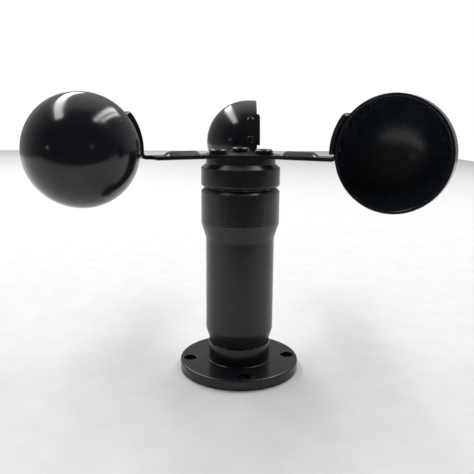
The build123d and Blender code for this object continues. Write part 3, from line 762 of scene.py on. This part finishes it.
bolt_places = [on_circle(BOLT_CIRCLE_RADIUS, FULL_TURN * i / BOLT_COUNT) for i in range(BOLT_COUNT)]
for place in bolt_places:
    drilled_to = FLANGE_THICKNESS + DRILL_OVERRUN
    cut_away(flange, add_cylinder(BOLT_HOLE_RADIUS, -DRILL_OVERRUN, drilled_to, place=place))
    bevel_mouth(flange, place, BOLT_HOLE_RADIUS, FLANGE_THICKNESS, 0.35)
    bevel_mouth(flange, place, BOLT_HOLE_RADIUS, 0, 0.25)
smooth(flange)
flange_finish = make_black_anodised(
    "black_aluminium_flange",
    [(FLANGE_RADIUS, FLANGE_THICKNESS), (BOSS_RADIUS, BOSS_TOP), (FLANGE_RADIUS, 0)],
    polish=(0.15, 0.22),
)
hand_over(flange, "flange", "base", flange_finish, "black_aluminium", "base_flange")

# %% [markdown]
# ### The foot, the housing and the hub
#
# These are the other turned pieces. The foot screws into the flange and carries the housing, whose
# top widens to a collar round the upper bearing. The hub turns just above the collar. Its skirt
# hangs over the bearing carrier so that rain can't reach the bearings.

# %%
foot_low, foot_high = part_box("foot_adapter")
housing_low, housing_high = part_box("housing_tube")
hub_low, hub_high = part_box("rotor_hub")
TUBE_BORE = 15.4
TUBE_RADIUS = 18.2
FOOT_SCREW_RADIUS = TUBE_BORE - 0.05
COLLAR_RADIUS = housing_high.x / MM
TUBE_BOTTOM = housing_low.z / MM
COLLAR_TOP = housing_high.z / MM
COLLAR_LENGTH = 18.3
TAPER_LENGTH = 8.0
COLLAR_BOTTOM = COLLAR_TOP - COLLAR_LENGTH
TAPER_BOTTOM = COLLAR_BOTTOM - TAPER_LENGTH
COLLAR_CHAMFER = 1.4
FOOT_RADIUS = 16.6
FOOT_LENGTH = 5.4
FOOT_BOTTOM = TUBE_BOTTOM - FOOT_LENGTH
SPIGOT_BORE = 11.0
SPIGOT_RADIUS = 13.9
SPIGOT_BOTTOM = foot_low.z / MM
FOOT_TOP = foot_high.z / MM
SEAL_GROOVE_RADIUS = 13.35
SEAL_GROOVE_LOW = TUBE_BOTTOM + 1.95
SEAL_GROOVE_HIGH = TUBE_BOTTOM + 4.05

foot = turn(
    [
        (SPIGOT_BORE, SPIGOT_BOTTOM),
        (SPIGOT_RADIUS, SPIGOT_BOTTOM),
        (SPIGOT_RADIUS, FOOT_BOTTOM),
        (FOOT_RADIUS, FOOT_BOTTOM),
        (TUBE_RADIUS, TUBE_BOTTOM),
        (FOOT_SCREW_RADIUS, TUBE_BOTTOM),
        (FOOT_SCREW_RADIUS, SEAL_GROOVE_LOW),
        (SEAL_GROOVE_RADIUS, SEAL_GROOVE_LOW),
        (SEAL_GROOVE_RADIUS, SEAL_GROOVE_HIGH),
        (FOOT_SCREW_RADIUS, SEAL_GROOVE_HIGH),
        (FOOT_SCREW_RADIUS, FOOT_TOP),
        (SPIGOT_BORE, FOOT_TOP),
    ],
    [
        (FOOT_RADIUS, FOOT_BOTTOM, 0.35),
        (SPIGOT_RADIUS, SPIGOT_BOTTOM, 0.4),
        (TUBE_RADIUS, TUBE_BOTTOM, 0.15),
    ],
)
smooth(foot)
foot_corners = [(FOOT_RADIUS, FOOT_BOTTOM), (TUBE_RADIUS, TUBE_BOTTOM)]
foot_finish = make_black_anodised("black_aluminium_foot", foot_corners)
hand_over(foot, "foot", "base", foot_finish, "black_aluminium", "foot_adapter")

# %% [markdown]
# The housing's inside steps outwards below the bearing carrier, so that the circuit boards can be
# screwed up against the ledge. The seam between foot and housing is kept as a fine line.

# %%
CARRIER_BORE = 11.55
CARRIER_SEAT = 17.05
SEAT_FLOOR = COLLAR_TOP - 4.6
LEDGE = 70.0

housing = turn(
    [
        (TUBE_BORE, TUBE_BOTTOM),
        (TUBE_RADIUS, TUBE_BOTTOM),
        (TUBE_RADIUS, TAPER_BOTTOM),
        (COLLAR_RADIUS, COLLAR_BOTTOM),
        (COLLAR_RADIUS, COLLAR_TOP - COLLAR_CHAMFER),
        (COLLAR_RADIUS - COLLAR_CHAMFER, COLLAR_TOP),
        (CARRIER_SEAT, COLLAR_TOP),
        (CARRIER_SEAT, SEAT_FLOOR),
        (CARRIER_BORE, SEAT_FLOOR),
        (CARRIER_BORE, LEDGE),
        (TUBE_BORE, LEDGE),
    ],
    [
        (TUBE_RADIUS, TUBE_BOTTOM, 0.15),
        (TUBE_RADIUS, TAPER_BOTTOM, 0.8),
        (COLLAR_RADIUS, COLLAR_BOTTOM, 0.6),
        (COLLAR_RADIUS, COLLAR_TOP - COLLAR_CHAMFER, 0.25),
        (COLLAR_RADIUS - COLLAR_CHAMFER, COLLAR_TOP, 0.2),
    ],
)
smooth(housing, 20)
housing_corners = [
    (COLLAR_RADIUS, COLLAR_BOTTOM),
    (COLLAR_RADIUS, COLLAR_TOP - COLLAR_CHAMFER),
    (COLLAR_RADIUS - COLLAR_CHAMFER, COLLAR_TOP),
]
housing_finish = make_black_anodised("black_aluminium_housing", housing_corners)
hand_over(housing, "housing", "base", housing_finish, "black_aluminium", "housing_tube")

# %%
HUB_BOTTOM = hub_low.z / MM
HUB_TOP = hub_high.z / MM
HUB_RADIUS = hub_high.x / MM
HUB_LOWER_CHAMFER = 0.9
HUB_RIM_TOP = HUB_BOTTOM + 9.8
HUB_TAPER_TOP = HUB_RIM_TOP + 2.0
HUB_NECK_RADIUS = HUB_RADIUS - 2.5
HUB_CAVITY_RADIUS = HUB_RADIUS - 3.1
HUB_CEILING = HUB_TOP - 10.0
HUB_BOSS_RADIUS = 7.0
SHAFT_RADIUS = 3.0
WASHER_POCKET_RADIUS = 4.15
WASHER_POCKET_FLOOR = HUB_TOP - 4.1

hub = turn(
    [
        (SHAFT_RADIUS, HUB_BOTTOM),
        (HUB_BOSS_RADIUS, HUB_BOTTOM),
        (HUB_BOSS_RADIUS, HUB_CEILING),
        (HUB_CAVITY_RADIUS, HUB_CEILING),
        (HUB_CAVITY_RADIUS, HUB_BOTTOM),
        (HUB_RADIUS - HUB_LOWER_CHAMFER, HUB_BOTTOM),
        (HUB_RADIUS, HUB_BOTTOM + HUB_LOWER_CHAMFER),
        (HUB_RADIUS, HUB_RIM_TOP),
        (HUB_NECK_RADIUS, HUB_TAPER_TOP),
        (HUB_NECK_RADIUS, HUB_TOP),
        (WASHER_POCKET_RADIUS, HUB_TOP),
        (WASHER_POCKET_RADIUS, WASHER_POCKET_FLOOR),
        (SHAFT_RADIUS, WASHER_POCKET_FLOOR),
    ],
    [
        (HUB_RADIUS, HUB_BOTTOM + HUB_LOWER_CHAMFER, 0.2),
        (HUB_RADIUS, HUB_RIM_TOP, 0.3),
        (HUB_NECK_RADIUS, HUB_TOP, 0.2),
        (HUB_CAVITY_RADIUS, HUB_CEILING, 0.6),
    ],
)
HUB_SCREW_CIRCLE = 13.4
HUB_THREAD_RADIUS = 2.5
HUB_THREAD_DEPTH = 8.0
REST_ANGLE = math.radians(85.5)
ARM_COUNT = 3
arm_angles = [REST_ANGLE + FULL_TURN * i / ARM_COUNT for i in range(ARM_COUNT)]
hub_screw_places = [on_circle(HUB_SCREW_CIRCLE, arm_angle) for arm_angle in arm_angles]
for place in hub_screw_places:
    cut_away(hub, add_cylinder(HUB_THREAD_RADIUS, HUB_TOP - HUB_THREAD_DEPTH, HUB_TOP + 1, place=place))
smooth(hub, 20)
hub_corners = [
    (HUB_RADIUS, HUB_BOTTOM + HUB_LOWER_CHAMFER),
    (HUB_RADIUS, HUB_RIM_TOP),
    (HUB_NECK_RADIUS, HUB_TAPER_TOP),
]
hub_finish = make_black_anodised("black_aluminium_hub", hub_corners)
hand_over(hub, "hub", "rotor", hub_finish, "black_aluminium", "rotor_hub")

# %% [markdown]
# ## The cups
#
# A cup is a half ball with a short straight skirt, moulded with an even wall. It starts as a ball
# whose pole points out of the closed end. The mouth half is cut off with bisect, the open ring is
# extruded straight to the mouth, and the Solidify modifier gives it its wall. Last the lip is
# rounded. One cup is modelled, and each arm gets a turned copy of it.

# %%
CUP_CIRCLE_RADIUS = 81.6
CUP_RADIUS = 26.5
CUP_WALL = 1.6
CUP_SKIRT = 5.2
SKIRT_STEPS = 4
CUP_HEIGHT = 120.7
MOUTH_OFFSET = 11.2
CUP_LIP_ROUND = 0.5


def mark_inside(cup):
    """Attribute that is 1 on the inner wall's points and 0 on the lip and the outer wall."""
    mark = cup.data.attributes.new("inside", "FLOAT", "POINT")
    wall_middle = (CUP_RADIUS - CUP_WALL / 2) * MM
    for vertex, value in zip(cup.data.vertices, mark.data):
        below_skirt = min(vertex.co.z + CUP_SKIRT * MM, 0)
        from_axis = math.hypot(radius_of(vertex.co), below_skirt)
        on_lip = vertex.co.z > -2 * CUP_LIP_ROUND * MM
        value.value = 0.0 if on_lip or from_axis > wall_middle else 1.0


def model_cup():
    """Cup with its axis along Z, mouth upwards, and the mouth's middle at the origin."""
    deselect_all()
    bpy.ops.mesh.primitive_uv_sphere_add(
        segments=128, ring_count=96, radius=CUP_RADIUS * MM, location=(0, 0, -CUP_SKIRT * MM)
    )
    cup = bpy.context.object
    apply_place(cup)
    work_on(cup)
    bpy.ops.mesh.select_all(action="SELECT")
    bpy.ops.mesh.bisect(
        plane_co=(0, 0, -CUP_SKIRT * MM), plane_no=(0, 0, 1), use_fill=False, clear_outer=True
    )
    pick(cup, "EDGE", lambda p: near(p.z, -CUP_SKIRT * MM))
    for _ in range(SKIRT_STEPS):
        step = (0, 0, CUP_SKIRT / SKIRT_STEPS * MM)
        bpy.ops.mesh.extrude_region_move(TRANSFORM_OT_translate={"value": step})
    close_up()
    leave_edit()
    apply_modifier(cup, "SOLIDIFY", thickness=CUP_WALL * MM, offset=-1.0)
    work_on(cup)
    for rim_radius in (CUP_RADIUS, CUP_RADIUS - CUP_WALL):
        pick(cup, "EDGE", on_ring(rim_radius * MM, 0))
        bevel_picked(CUP_LIP_ROUND)
    leave_edit()
    mark_inside(cup)
    return cup


cup = model_cup()

# %% [markdown]
# The mouth faces along the circle that the cups run on, clockwise seen from above. A matrix that
# stands for "arm's direction, up, and out of the mouth" puts the upright cup in its place, and it
# is written into the mesh so that the object itself stays at the origin.


# %%
def arm_frame(arm_angle):
    """Matrix of an arm's own frame: X out along the arm, Y counter-clockwise, Z up."""
    return Matrix.Rotation(arm_angle, 4, "Z")


def cup_frame(arm_angle):
    """Matrix that takes a cup with its mouth up at the origin to its place on an arm."""
    middle = Vector((CUP_CIRCLE_RADIUS, -MOUTH_OFFSET, CUP_HEIGHT)) * MM
    lay_down = Matrix.Rotation(math.radians(90), 4, "X")
    return arm_frame(arm_angle) @ Matrix.Translation(middle) @ lay_down


def copy_into(shape, matrix):
    """Copy of a shape with its own mesh, moved by a matrix in its mesh."""
    copy = shape.copy()
    copy.data = shape.data.copy()
    copy.data.transform(matrix)
    bpy.context.collection.objects.link(copy)
    return copy


for cup_name, arm_angle in zip(("rear_cup", "left_cup", "right_cup"), arm_angles):
    this_cup = copy_into(cup, cup_frame(arm_angle))
    smooth(this_cup, 40)
    hand_over(this_cup, cup_name + "_moulding", "rotor", finishes["cup_plastic"], "cup_plastic", cup_name)
bpy.data.objects.remove(cup)

# %% [markdown]
# ## The spider
#
# The spider is cut from sheet and pressed: a round middle, three arms with a raised rib each, and
# at each arm's end a narrow neck that bends up into a curved tab against the side of the cup. Its
# outline and bends come straight from the part's own sheet, so a copy of that node is the blank.
# The copy's triangles are merged and flat areas dissolved to whole faces, and then every cut edge
# gets the small round that tumbling leaves, as large as the shortest edge allows. Only bends and
# fillets are shaded smooth, so that the flat faces stay flat in the light.

# %%
SHEET_EDGE_ROUND = 0.28


def merged_copy(node_name, flat_angle=0.2):
    """Copy of a CAD node with its doubled corners merged and its flat faces made whole."""
    source = frame["nodes"][node_name]
    copy = bpy.data.objects.new(node_name + "_copy", source.data.copy())
    bpy.context.collection.objects.link(copy)
    work_on(copy)
    bpy.ops.mesh.select_all(action="SELECT")
    bpy.ops.mesh.remove_doubles(threshold=0.002 * MM)
    bpy.ops.mesh.dissolve_limited(angle_limit=math.radians(flat_angle))
    leave_edit()
    return copy


spider = merged_copy("spider_plate")
apply_modifier(
    spider,
    "BEVEL",
    width=SHEET_EDGE_ROUND * MM,
    segments=2,
    limit_method="ANGLE",
    angle_limit=math.radians(50),
    use_clamp_overlap=True,
)
smooth(spider, 18)
hand_over(spider, "spider", "rotor", finishes["black_sheet"], "black_sheet", "spider_plate")

# %% [markdown]
# ## Screws and rivets
#
# A button-head screw is a low cylinder whose upper edge is rounded well over, with a hexagon
# socket sunk into it. It is modelled once and copied to the three places on the hub.

# %%
spider_low, spider_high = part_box("spider_plate")
PLATE_BOTTOM = spider_low.z / MM
SHEET = 1.8
PLATE_TOP = PLATE_BOTTOM + SHEET
SCREW_HEAD_RADIUS = 4.75
SCREW_HEAD_HEIGHT = 2.7
SCREW_HEAD_ROUND = 1.6
SCREW_UNDERSIDE_ROUND = 0.2
SCREW_TIP_BEVEL = 0.4
SCREW_SOCKET_WIDTH = 3.0
SCREW_SOCKET_FLOOR = 0.9
SCREW_LENGTH = 9.0


def model_hub_screw():
    """Button-head screw on the Z axis, its head standing on the spider's top face."""
    head_top = PLATE_TOP + SCREW_HEAD_HEIGHT
    screw = add_cylinder(SCREW_HEAD_RADIUS, PLATE_TOP, head_top)
    work_on(screw)
    pick(screw, "EDGE", on_ring(SCREW_HEAD_RADIUS * MM, head_top * MM))
    bevel_picked(SCREW_HEAD_ROUND, segments=8)
    pick(screw, "EDGE", on_ring(SCREW_HEAD_RADIUS * MM, PLATE_TOP * MM))
    bevel_picked(SCREW_UNDERSIDE_ROUND, segments=2)
    pick(screw, "FACE", lambda p: near(p.z, PLATE_TOP * MM))
    bpy.ops.mesh.inset(thickness=(SCREW_HEAD_RADIUS - SCREW_UNDERSIDE_ROUND - HUB_THREAD_RADIUS) * MM)
    shank = (0, 0, -SCREW_LENGTH * MM)
    bpy.ops.mesh.extrude_region_move(TRANSFORM_OT_translate={"value": shank})
    bevel_picked(SCREW_TIP_BEVEL, segments=2)
    leave_edit()
    depth = SCREW_HEAD_HEIGHT - SCREW_SOCKET_FLOOR
    key_radius = SCREW_SOCKET_WIDTH / math.sqrt(3)
    cut_away(screw, add_cylinder(key_radius, head_top - depth, head_top + depth, vertices=6))
    return screw


def join_all(pieces):
    deselect_all()
    for piece in pieces:
        piece.select_set(True)
    bpy.context.view_layer.objects.active = pieces[0]
    bpy.ops.object.join()
    return bpy.context.object


hub_screw = model_hub_screw()
KEY_TURNS = (0.3, 1.1, 0.7)
screws = [
    copy_into(hub_screw, Matrix.Translation(place) @ Matrix.Rotation(key_turn, 4, "Z"))
    for place, key_turn in zip(hub_screw_places, KEY_TURNS)
]
bpy.data.objects.remove(hub_screw)
hub_screws = join_all(screws)
smooth(hub_screws)
black_oxide = finishes["black_fastener"]
hand_over(hub_screws, "hub_button_screws", "rotor", black_oxide, "black_fastener", "hub_screws")

# %% [markdown]
# A rivet is turned like the larger pieces: a low domed head inside the cup, a shank through cup
# and tab, and a flatter closed head on the outside. Its section starts and ends on the axis, so the
# section is left open there and the merged pole closes it.

# %%
RIVET_RADIUS = 1.5
RIVET_HEAD_RADIUS = 2.4
RIVET_HEAD_HEIGHT = 0.9
RIVET_TAIL_RADIUS = 2.2
RIVET_TAIL_HEIGHT = 0.6
RIVET_ANGLES = (5.0, 30.0)
TAB_CLEARANCE = 0.1
TAB_MIDDLE = 7.05
TAB_OUTER_RADIUS = CUP_RADIUS + TAB_CLEARANCE + SHEET
RIVET_SEAT = math.sqrt((CUP_RADIUS - CUP_WALL) ** 2 - RIVET_HEAD_RADIUS**2)


def turn_open(points, steps=32):
    """Spin a section that starts and ends on the axis."""
    piece = draw_section(points)
    spin_section(steps)
    leave_edit()
    return piece


def dome(radius, height, base, up=1, count=6):
    """Points of a low dome's section, from its rim on the base to its top on the axis."""
    angles = [math.pi / 2 * i / count for i in range(count + 1)]
    return [(radius * math.cos(a), base + up * height * math.sin(a)) for a in angles]


head_points = dome(RIVET_HEAD_RADIUS, RIVET_HEAD_HEIGHT, RIVET_SEAT, up=-1)[::-1]
tail_points = dome(RIVET_TAIL_RADIUS, RIVET_TAIL_HEIGHT, TAB_OUTER_RADIUS)
rivet = turn_open([*head_points, (RIVET_RADIUS, RIVET_SEAT), (RIVET_RADIUS, TAB_OUTER_RADIUS), *tail_points])


def rivet_frame(arm_angle, rivet_angle):
    on_axis = Vector((CUP_CIRCLE_RADIUS, -TAB_MIDDLE, CUP_HEIGHT)) * MM
    lean = Matrix.Rotation(math.radians(rivet_angle - 90), 4, "Y")
    return arm_frame(arm_angle) @ Matrix.Translation(on_axis) @ lean


rivets = join_all(
    [copy_into(rivet, rivet_frame(arm_angle, angle)) for arm_angle in arm_angles for angle in RIVET_ANGLES]
)
bpy.data.objects.remove(rivet)
smooth(rivets, 50)
hand_over(rivets, "tab_rivets", "rotor", finishes["black_sheet"], "black_fastener", "cup_rivets")

# %% [markdown]
# ## The base seal and the grommet
#
# The seal in the gap above the boss is an O-ring. A moulded ring has a hair of flash where the two
# mould halves meet, so two corners of its round section are pushed out a little before the spin.

# %%
ring_low, ring_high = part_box("base_o_ring")
SECTION_RADIUS = (ring_high.z - ring_low.z) / 2
RING_RADIUS = ring_high.x - SECTION_RADIUS
RING_HEIGHT = (ring_low.z + ring_high.z) / 2
FLASH = 0.05 * MM

deselect_all()
bpy.ops.mesh.primitive_circle_add(
    vertices=24, radius=SECTION_RADIUS, location=(RING_RADIUS, 0, RING_HEIGHT), rotation=(math.pi / 2, 0, 0)
)
seal = bpy.context.object
apply_place(seal)
work_on(seal)
for side in (-1, 1):
    pick(seal, "VERT", lambda p: near(p.x, RING_RADIUS + side * SECTION_RADIUS))
    bpy.ops.transform.translate(value=(side * FLASH, 0, 0))
spin_section(TURN_STEPS)
leave_edit()
smooth(seal)
hand_over(seal, "boss_seal", "base", finishes["seal_rubber"], "seal_rubber", "base_o_ring")

# %%
CABLE_RADIUS = 2.6
GROMMET_RIM_RADIUS = 8.0
GROMMET_RIM = 1.4
grommet = turn(
    [
        (CABLE_RADIUS, GROMMET_RECESS_DEPTH - GROMMET_RIM),
        (GROMMET_RIM_RADIUS, GROMMET_RECESS_DEPTH - GROMMET_RIM),
        (GROMMET_RIM_RADIUS, GROMMET_RECESS_DEPTH),
        (CABLE_HOLE_RADIUS, GROMMET_RECESS_DEPTH),
        (CABLE_HOLE_RADIUS, SOCKET_FLOOR),
        (GROMMET_RIM_RADIUS, SOCKET_FLOOR),
        (GROMMET_RIM_RADIUS, SOCKET_FLOOR + GROMMET_RIM),
        (CABLE_RADIUS, SOCKET_FLOOR + GROMMET_RIM),
    ],
    [
        (GROMMET_RIM_RADIUS, GROMMET_RECESS_DEPTH - GROMMET_RIM, 0.5),
        (GROMMET_RIM_RADIUS, SOCKET_FLOOR + GROMMET_RIM, 0.5),
        (CABLE_RADIUS, GROMMET_RECESS_DEPTH - GROMMET_RIM, 0.4),
        (CABLE_RADIUS, SOCKET_FLOOR + GROMMET_RIM, 0.4),
    ],
    steps=64,
)
smooth(grommet)
hand_over(grommet, "grommet", "base", finishes["seal_rubber"], "seal_rubber", "cable_grommet")

# %% [markdown]
# ## The stage
#
# Black gloss is drawn by what it reflects, so the room matters more than the lamps' strength. The
# object stands on a white table that ends just in front of it, under two rows of strip lamps that
# run from front to back. The table lights the lower part of each cup, the dark room in front leaves
# the middle dark, and the strips leave the bright curved streaks. The table top is a plane whose
# corners are bevelled round, in a pale paper finish with faint fibres. It lies a hair below the
# flange, so that the two surfaces never share a plane.

# %%
TABLE_FRONT = -0.29
TABLE_BACK = 2.2
TABLE_SIDE = 0.95
TABLE_GAP = 0.1 * MM
deselect_all()
bpy.ops.mesh.primitive_plane_add(size=1.0)
table = bpy.context.object
table.name = "table_top"
table.scale = (2 * TABLE_SIDE, TABLE_BACK - TABLE_FRONT, 1)
table.location = (0, (TABLE_BACK + TABLE_FRONT) / 2, -TABLE_GAP)
apply_place(table)
work_on(table)
bpy.ops.mesh.select_all(action="SELECT")
bpy.ops.mesh.bevel(offset=0.08, segments=8, affect="VERTICES")
leave_edit()
paper, paper_tree, paper_shader, paper_place = new_material("pale_paper", roughness=0.9, specular=0.1)
fibres = use_group(paper_tree, grain, paper_place, Grains_per_mm=0.8)
paper_tree.links.new(
    blend_colour(paper_tree, fibres["Patches"], (0.74, 0.74, 0.745), (0.77, 0.77, 0.77)),
    paper_shader.inputs["Base Color"],
)
table.data.materials.append(paper)
print("table top", [round(x, 2) for x in table.dimensions])

# %% [markdown]
# The room is a gradient on the world. It is dark in front of the object, lighter at the walls
# behind, and the ceiling gets light only from straight above towards the back, as under a white
# sheet that hangs over the table's far end. The camera itself sees the plain pale backdrop.

# %%
CEILING_LIGHT = 0.8
CEILING_LEAN = 0.5
BACK_WALL_LIGHT = 0.35
FRONT_WALL_LIGHT = 0.09
BACKDROP_LIGHT = 1.0
world = bpy.data.worlds.new("room")
bpy.context.scene.world = world
world.use_nodes = True
room = world.node_tree
background = room.nodes["Background"]
direction = room.nodes.new("ShaderNodeTexCoord")
towards = split_vector(room, direction.outputs["Generated"])
wall_light = add_range(room, towards["Y"], -0.5, 0.6, FRONT_WALL_LIGHT, BACK_WALL_LIGHT)
behind = add_math(room, "MULTIPLY", towards["Y"], CEILING_LEAN)
upper = add_range(room, add_math(room, "ADD", towards["Z"], behind), 0.88, 1.12)
room_mix = room.nodes.new("ShaderNodeMix")
room.links.new(upper, room_mix.inputs["Factor"])
room.links.new(wall_light, room_mix.inputs["A"])
room_mix.inputs["B"].default_value = CEILING_LIGHT
seen_by = room.nodes.new("ShaderNodeLightPath")
backdrop_mix = room.nodes.new("ShaderNodeMix")
room.links.new(seen_by.outputs["Is Camera Ray"], backdrop_mix.inputs["Factor"])
room.links.new(room_mix.outputs["Result"], backdrop_mix.inputs["A"])
backdrop_mix.inputs["B"].default_value = BACKDROP_LIGHT
room.links.new(backdrop_mix.outputs["Result"], background.inputs["Strength"])
background.inputs["Color"].default_value = (1, 1, 1, 1)

# %% [markdown]
# Each strip lamp hangs level under the ceiling and shines straight down. The left row is one wide
# strip, the right row is two narrow ones side by side, and the rows are turned a little against
# the object. Two small far lamps low in the room leave small dots on the glossy cups.

# %%
LAMP_HEIGHT = 1.12
LAMP_RADIANCE = 9.0
FAR_LAMP_DISTANCE = 3.0
FAR_LAMP_AIM_HEIGHT = 0.12
ROW_TURN = math.radians(-6.0)


def hang(name, lamp, place, turned):
    holder = bpy.data.objects.new(name, lamp)
    holder.location = place
    holder.rotation_euler = turned
    bpy.context.collection.objects.link(holder)


def add_strip(name, middle, width, front, back):
    """Level strip lamp, with its middle line's X, and its width and ends in metres."""
    lamp = bpy.data.lights.new(name, "AREA")
    lamp.shape = "RECTANGLE"
    lamp.size = width
    lamp.size_y = back - front
    lamp.energy = math.pi * LAMP_RADIANCE * lamp.size * lamp.size_y
    hang(name, lamp, (middle, (front + back) / 2, LAMP_HEIGHT), (0, 0, ROW_TURN))


def add_far_lamp(name, azimuth, elevation, radius, radiance):
    """Small round lamp far off, in a direction given like a view's, in degrees."""
    lamp = bpy.data.lights.new(name, "AREA")
    lamp.shape = "DISK"
    lamp.size = 2 * radius
    lamp.energy = math.pi * radiance * math.pi * radius**2
    turn_angle, rise = math.radians(azimuth), math.radians(elevation)
    away = Vector(
        (math.sin(turn_angle) * math.cos(rise), -math.cos(turn_angle) * math.cos(rise), math.sin(rise))
    )
    place = away * FAR_LAMP_DISTANCE + Vector((0, 0, FAR_LAMP_AIM_HEIGHT))
    hang(name, lamp, place, away.to_track_quat("Z", "Y").to_euler())


add_strip("left_strip", -0.55, 0.27, -0.38, 2.0)
add_strip("right_strip_inner", 0.54, 0.16, -0.42, 1.1)
add_strip("right_strip_outer", 0.75, 0.12, -0.30, 1.1)
add_far_lamp("far_lamp_left", -57.5, 6.5, 0.07, 8.0)
add_far_lamp("far_lamp_right", 27.0, 10.0, 0.06, 9.0)

# %% [markdown]
# ## The camera
#
# The camera stands a little above the cups, looks slightly down, and is almost in line with the
# arm that points away. It is tilted by half a degree, as a hand-held camera is.

# %%
CAMERA_PLACE = (-0.0304, -0.3050, 0.1357)
CAMERA_HEADING = -5.39
CAMERA_PITCH = 11.51
CAMERA_ROLL = 0.46
FOCAL_LENGTH = 44.22
camera_data = bpy.data.cameras.new("camera")
camera_data.lens = FOCAL_LENGTH
camera_data.sensor_width = 36.0
camera_data.clip_start = 0.01
camera = bpy.data.objects.new("camera", camera_data)
bpy.context.collection.objects.link(camera)
camera.location = CAMERA_PLACE
camera.rotation_euler = (
    Matrix.Rotation(math.radians(CAMERA_HEADING), 3, "Z")
    @ Matrix.Rotation(math.radians(90 - CAMERA_PITCH), 3, "X")
    @ Matrix.Rotation(math.radians(CAMERA_ROLL), 3, "Z")
).to_euler()
bpy.context.scene.camera = camera
bpy.context.scene.view_settings.view_transform = "Standard"

# %% [markdown]
# ## Finish
#
# At the end the selection is cleared.

# %%
deselect_all()
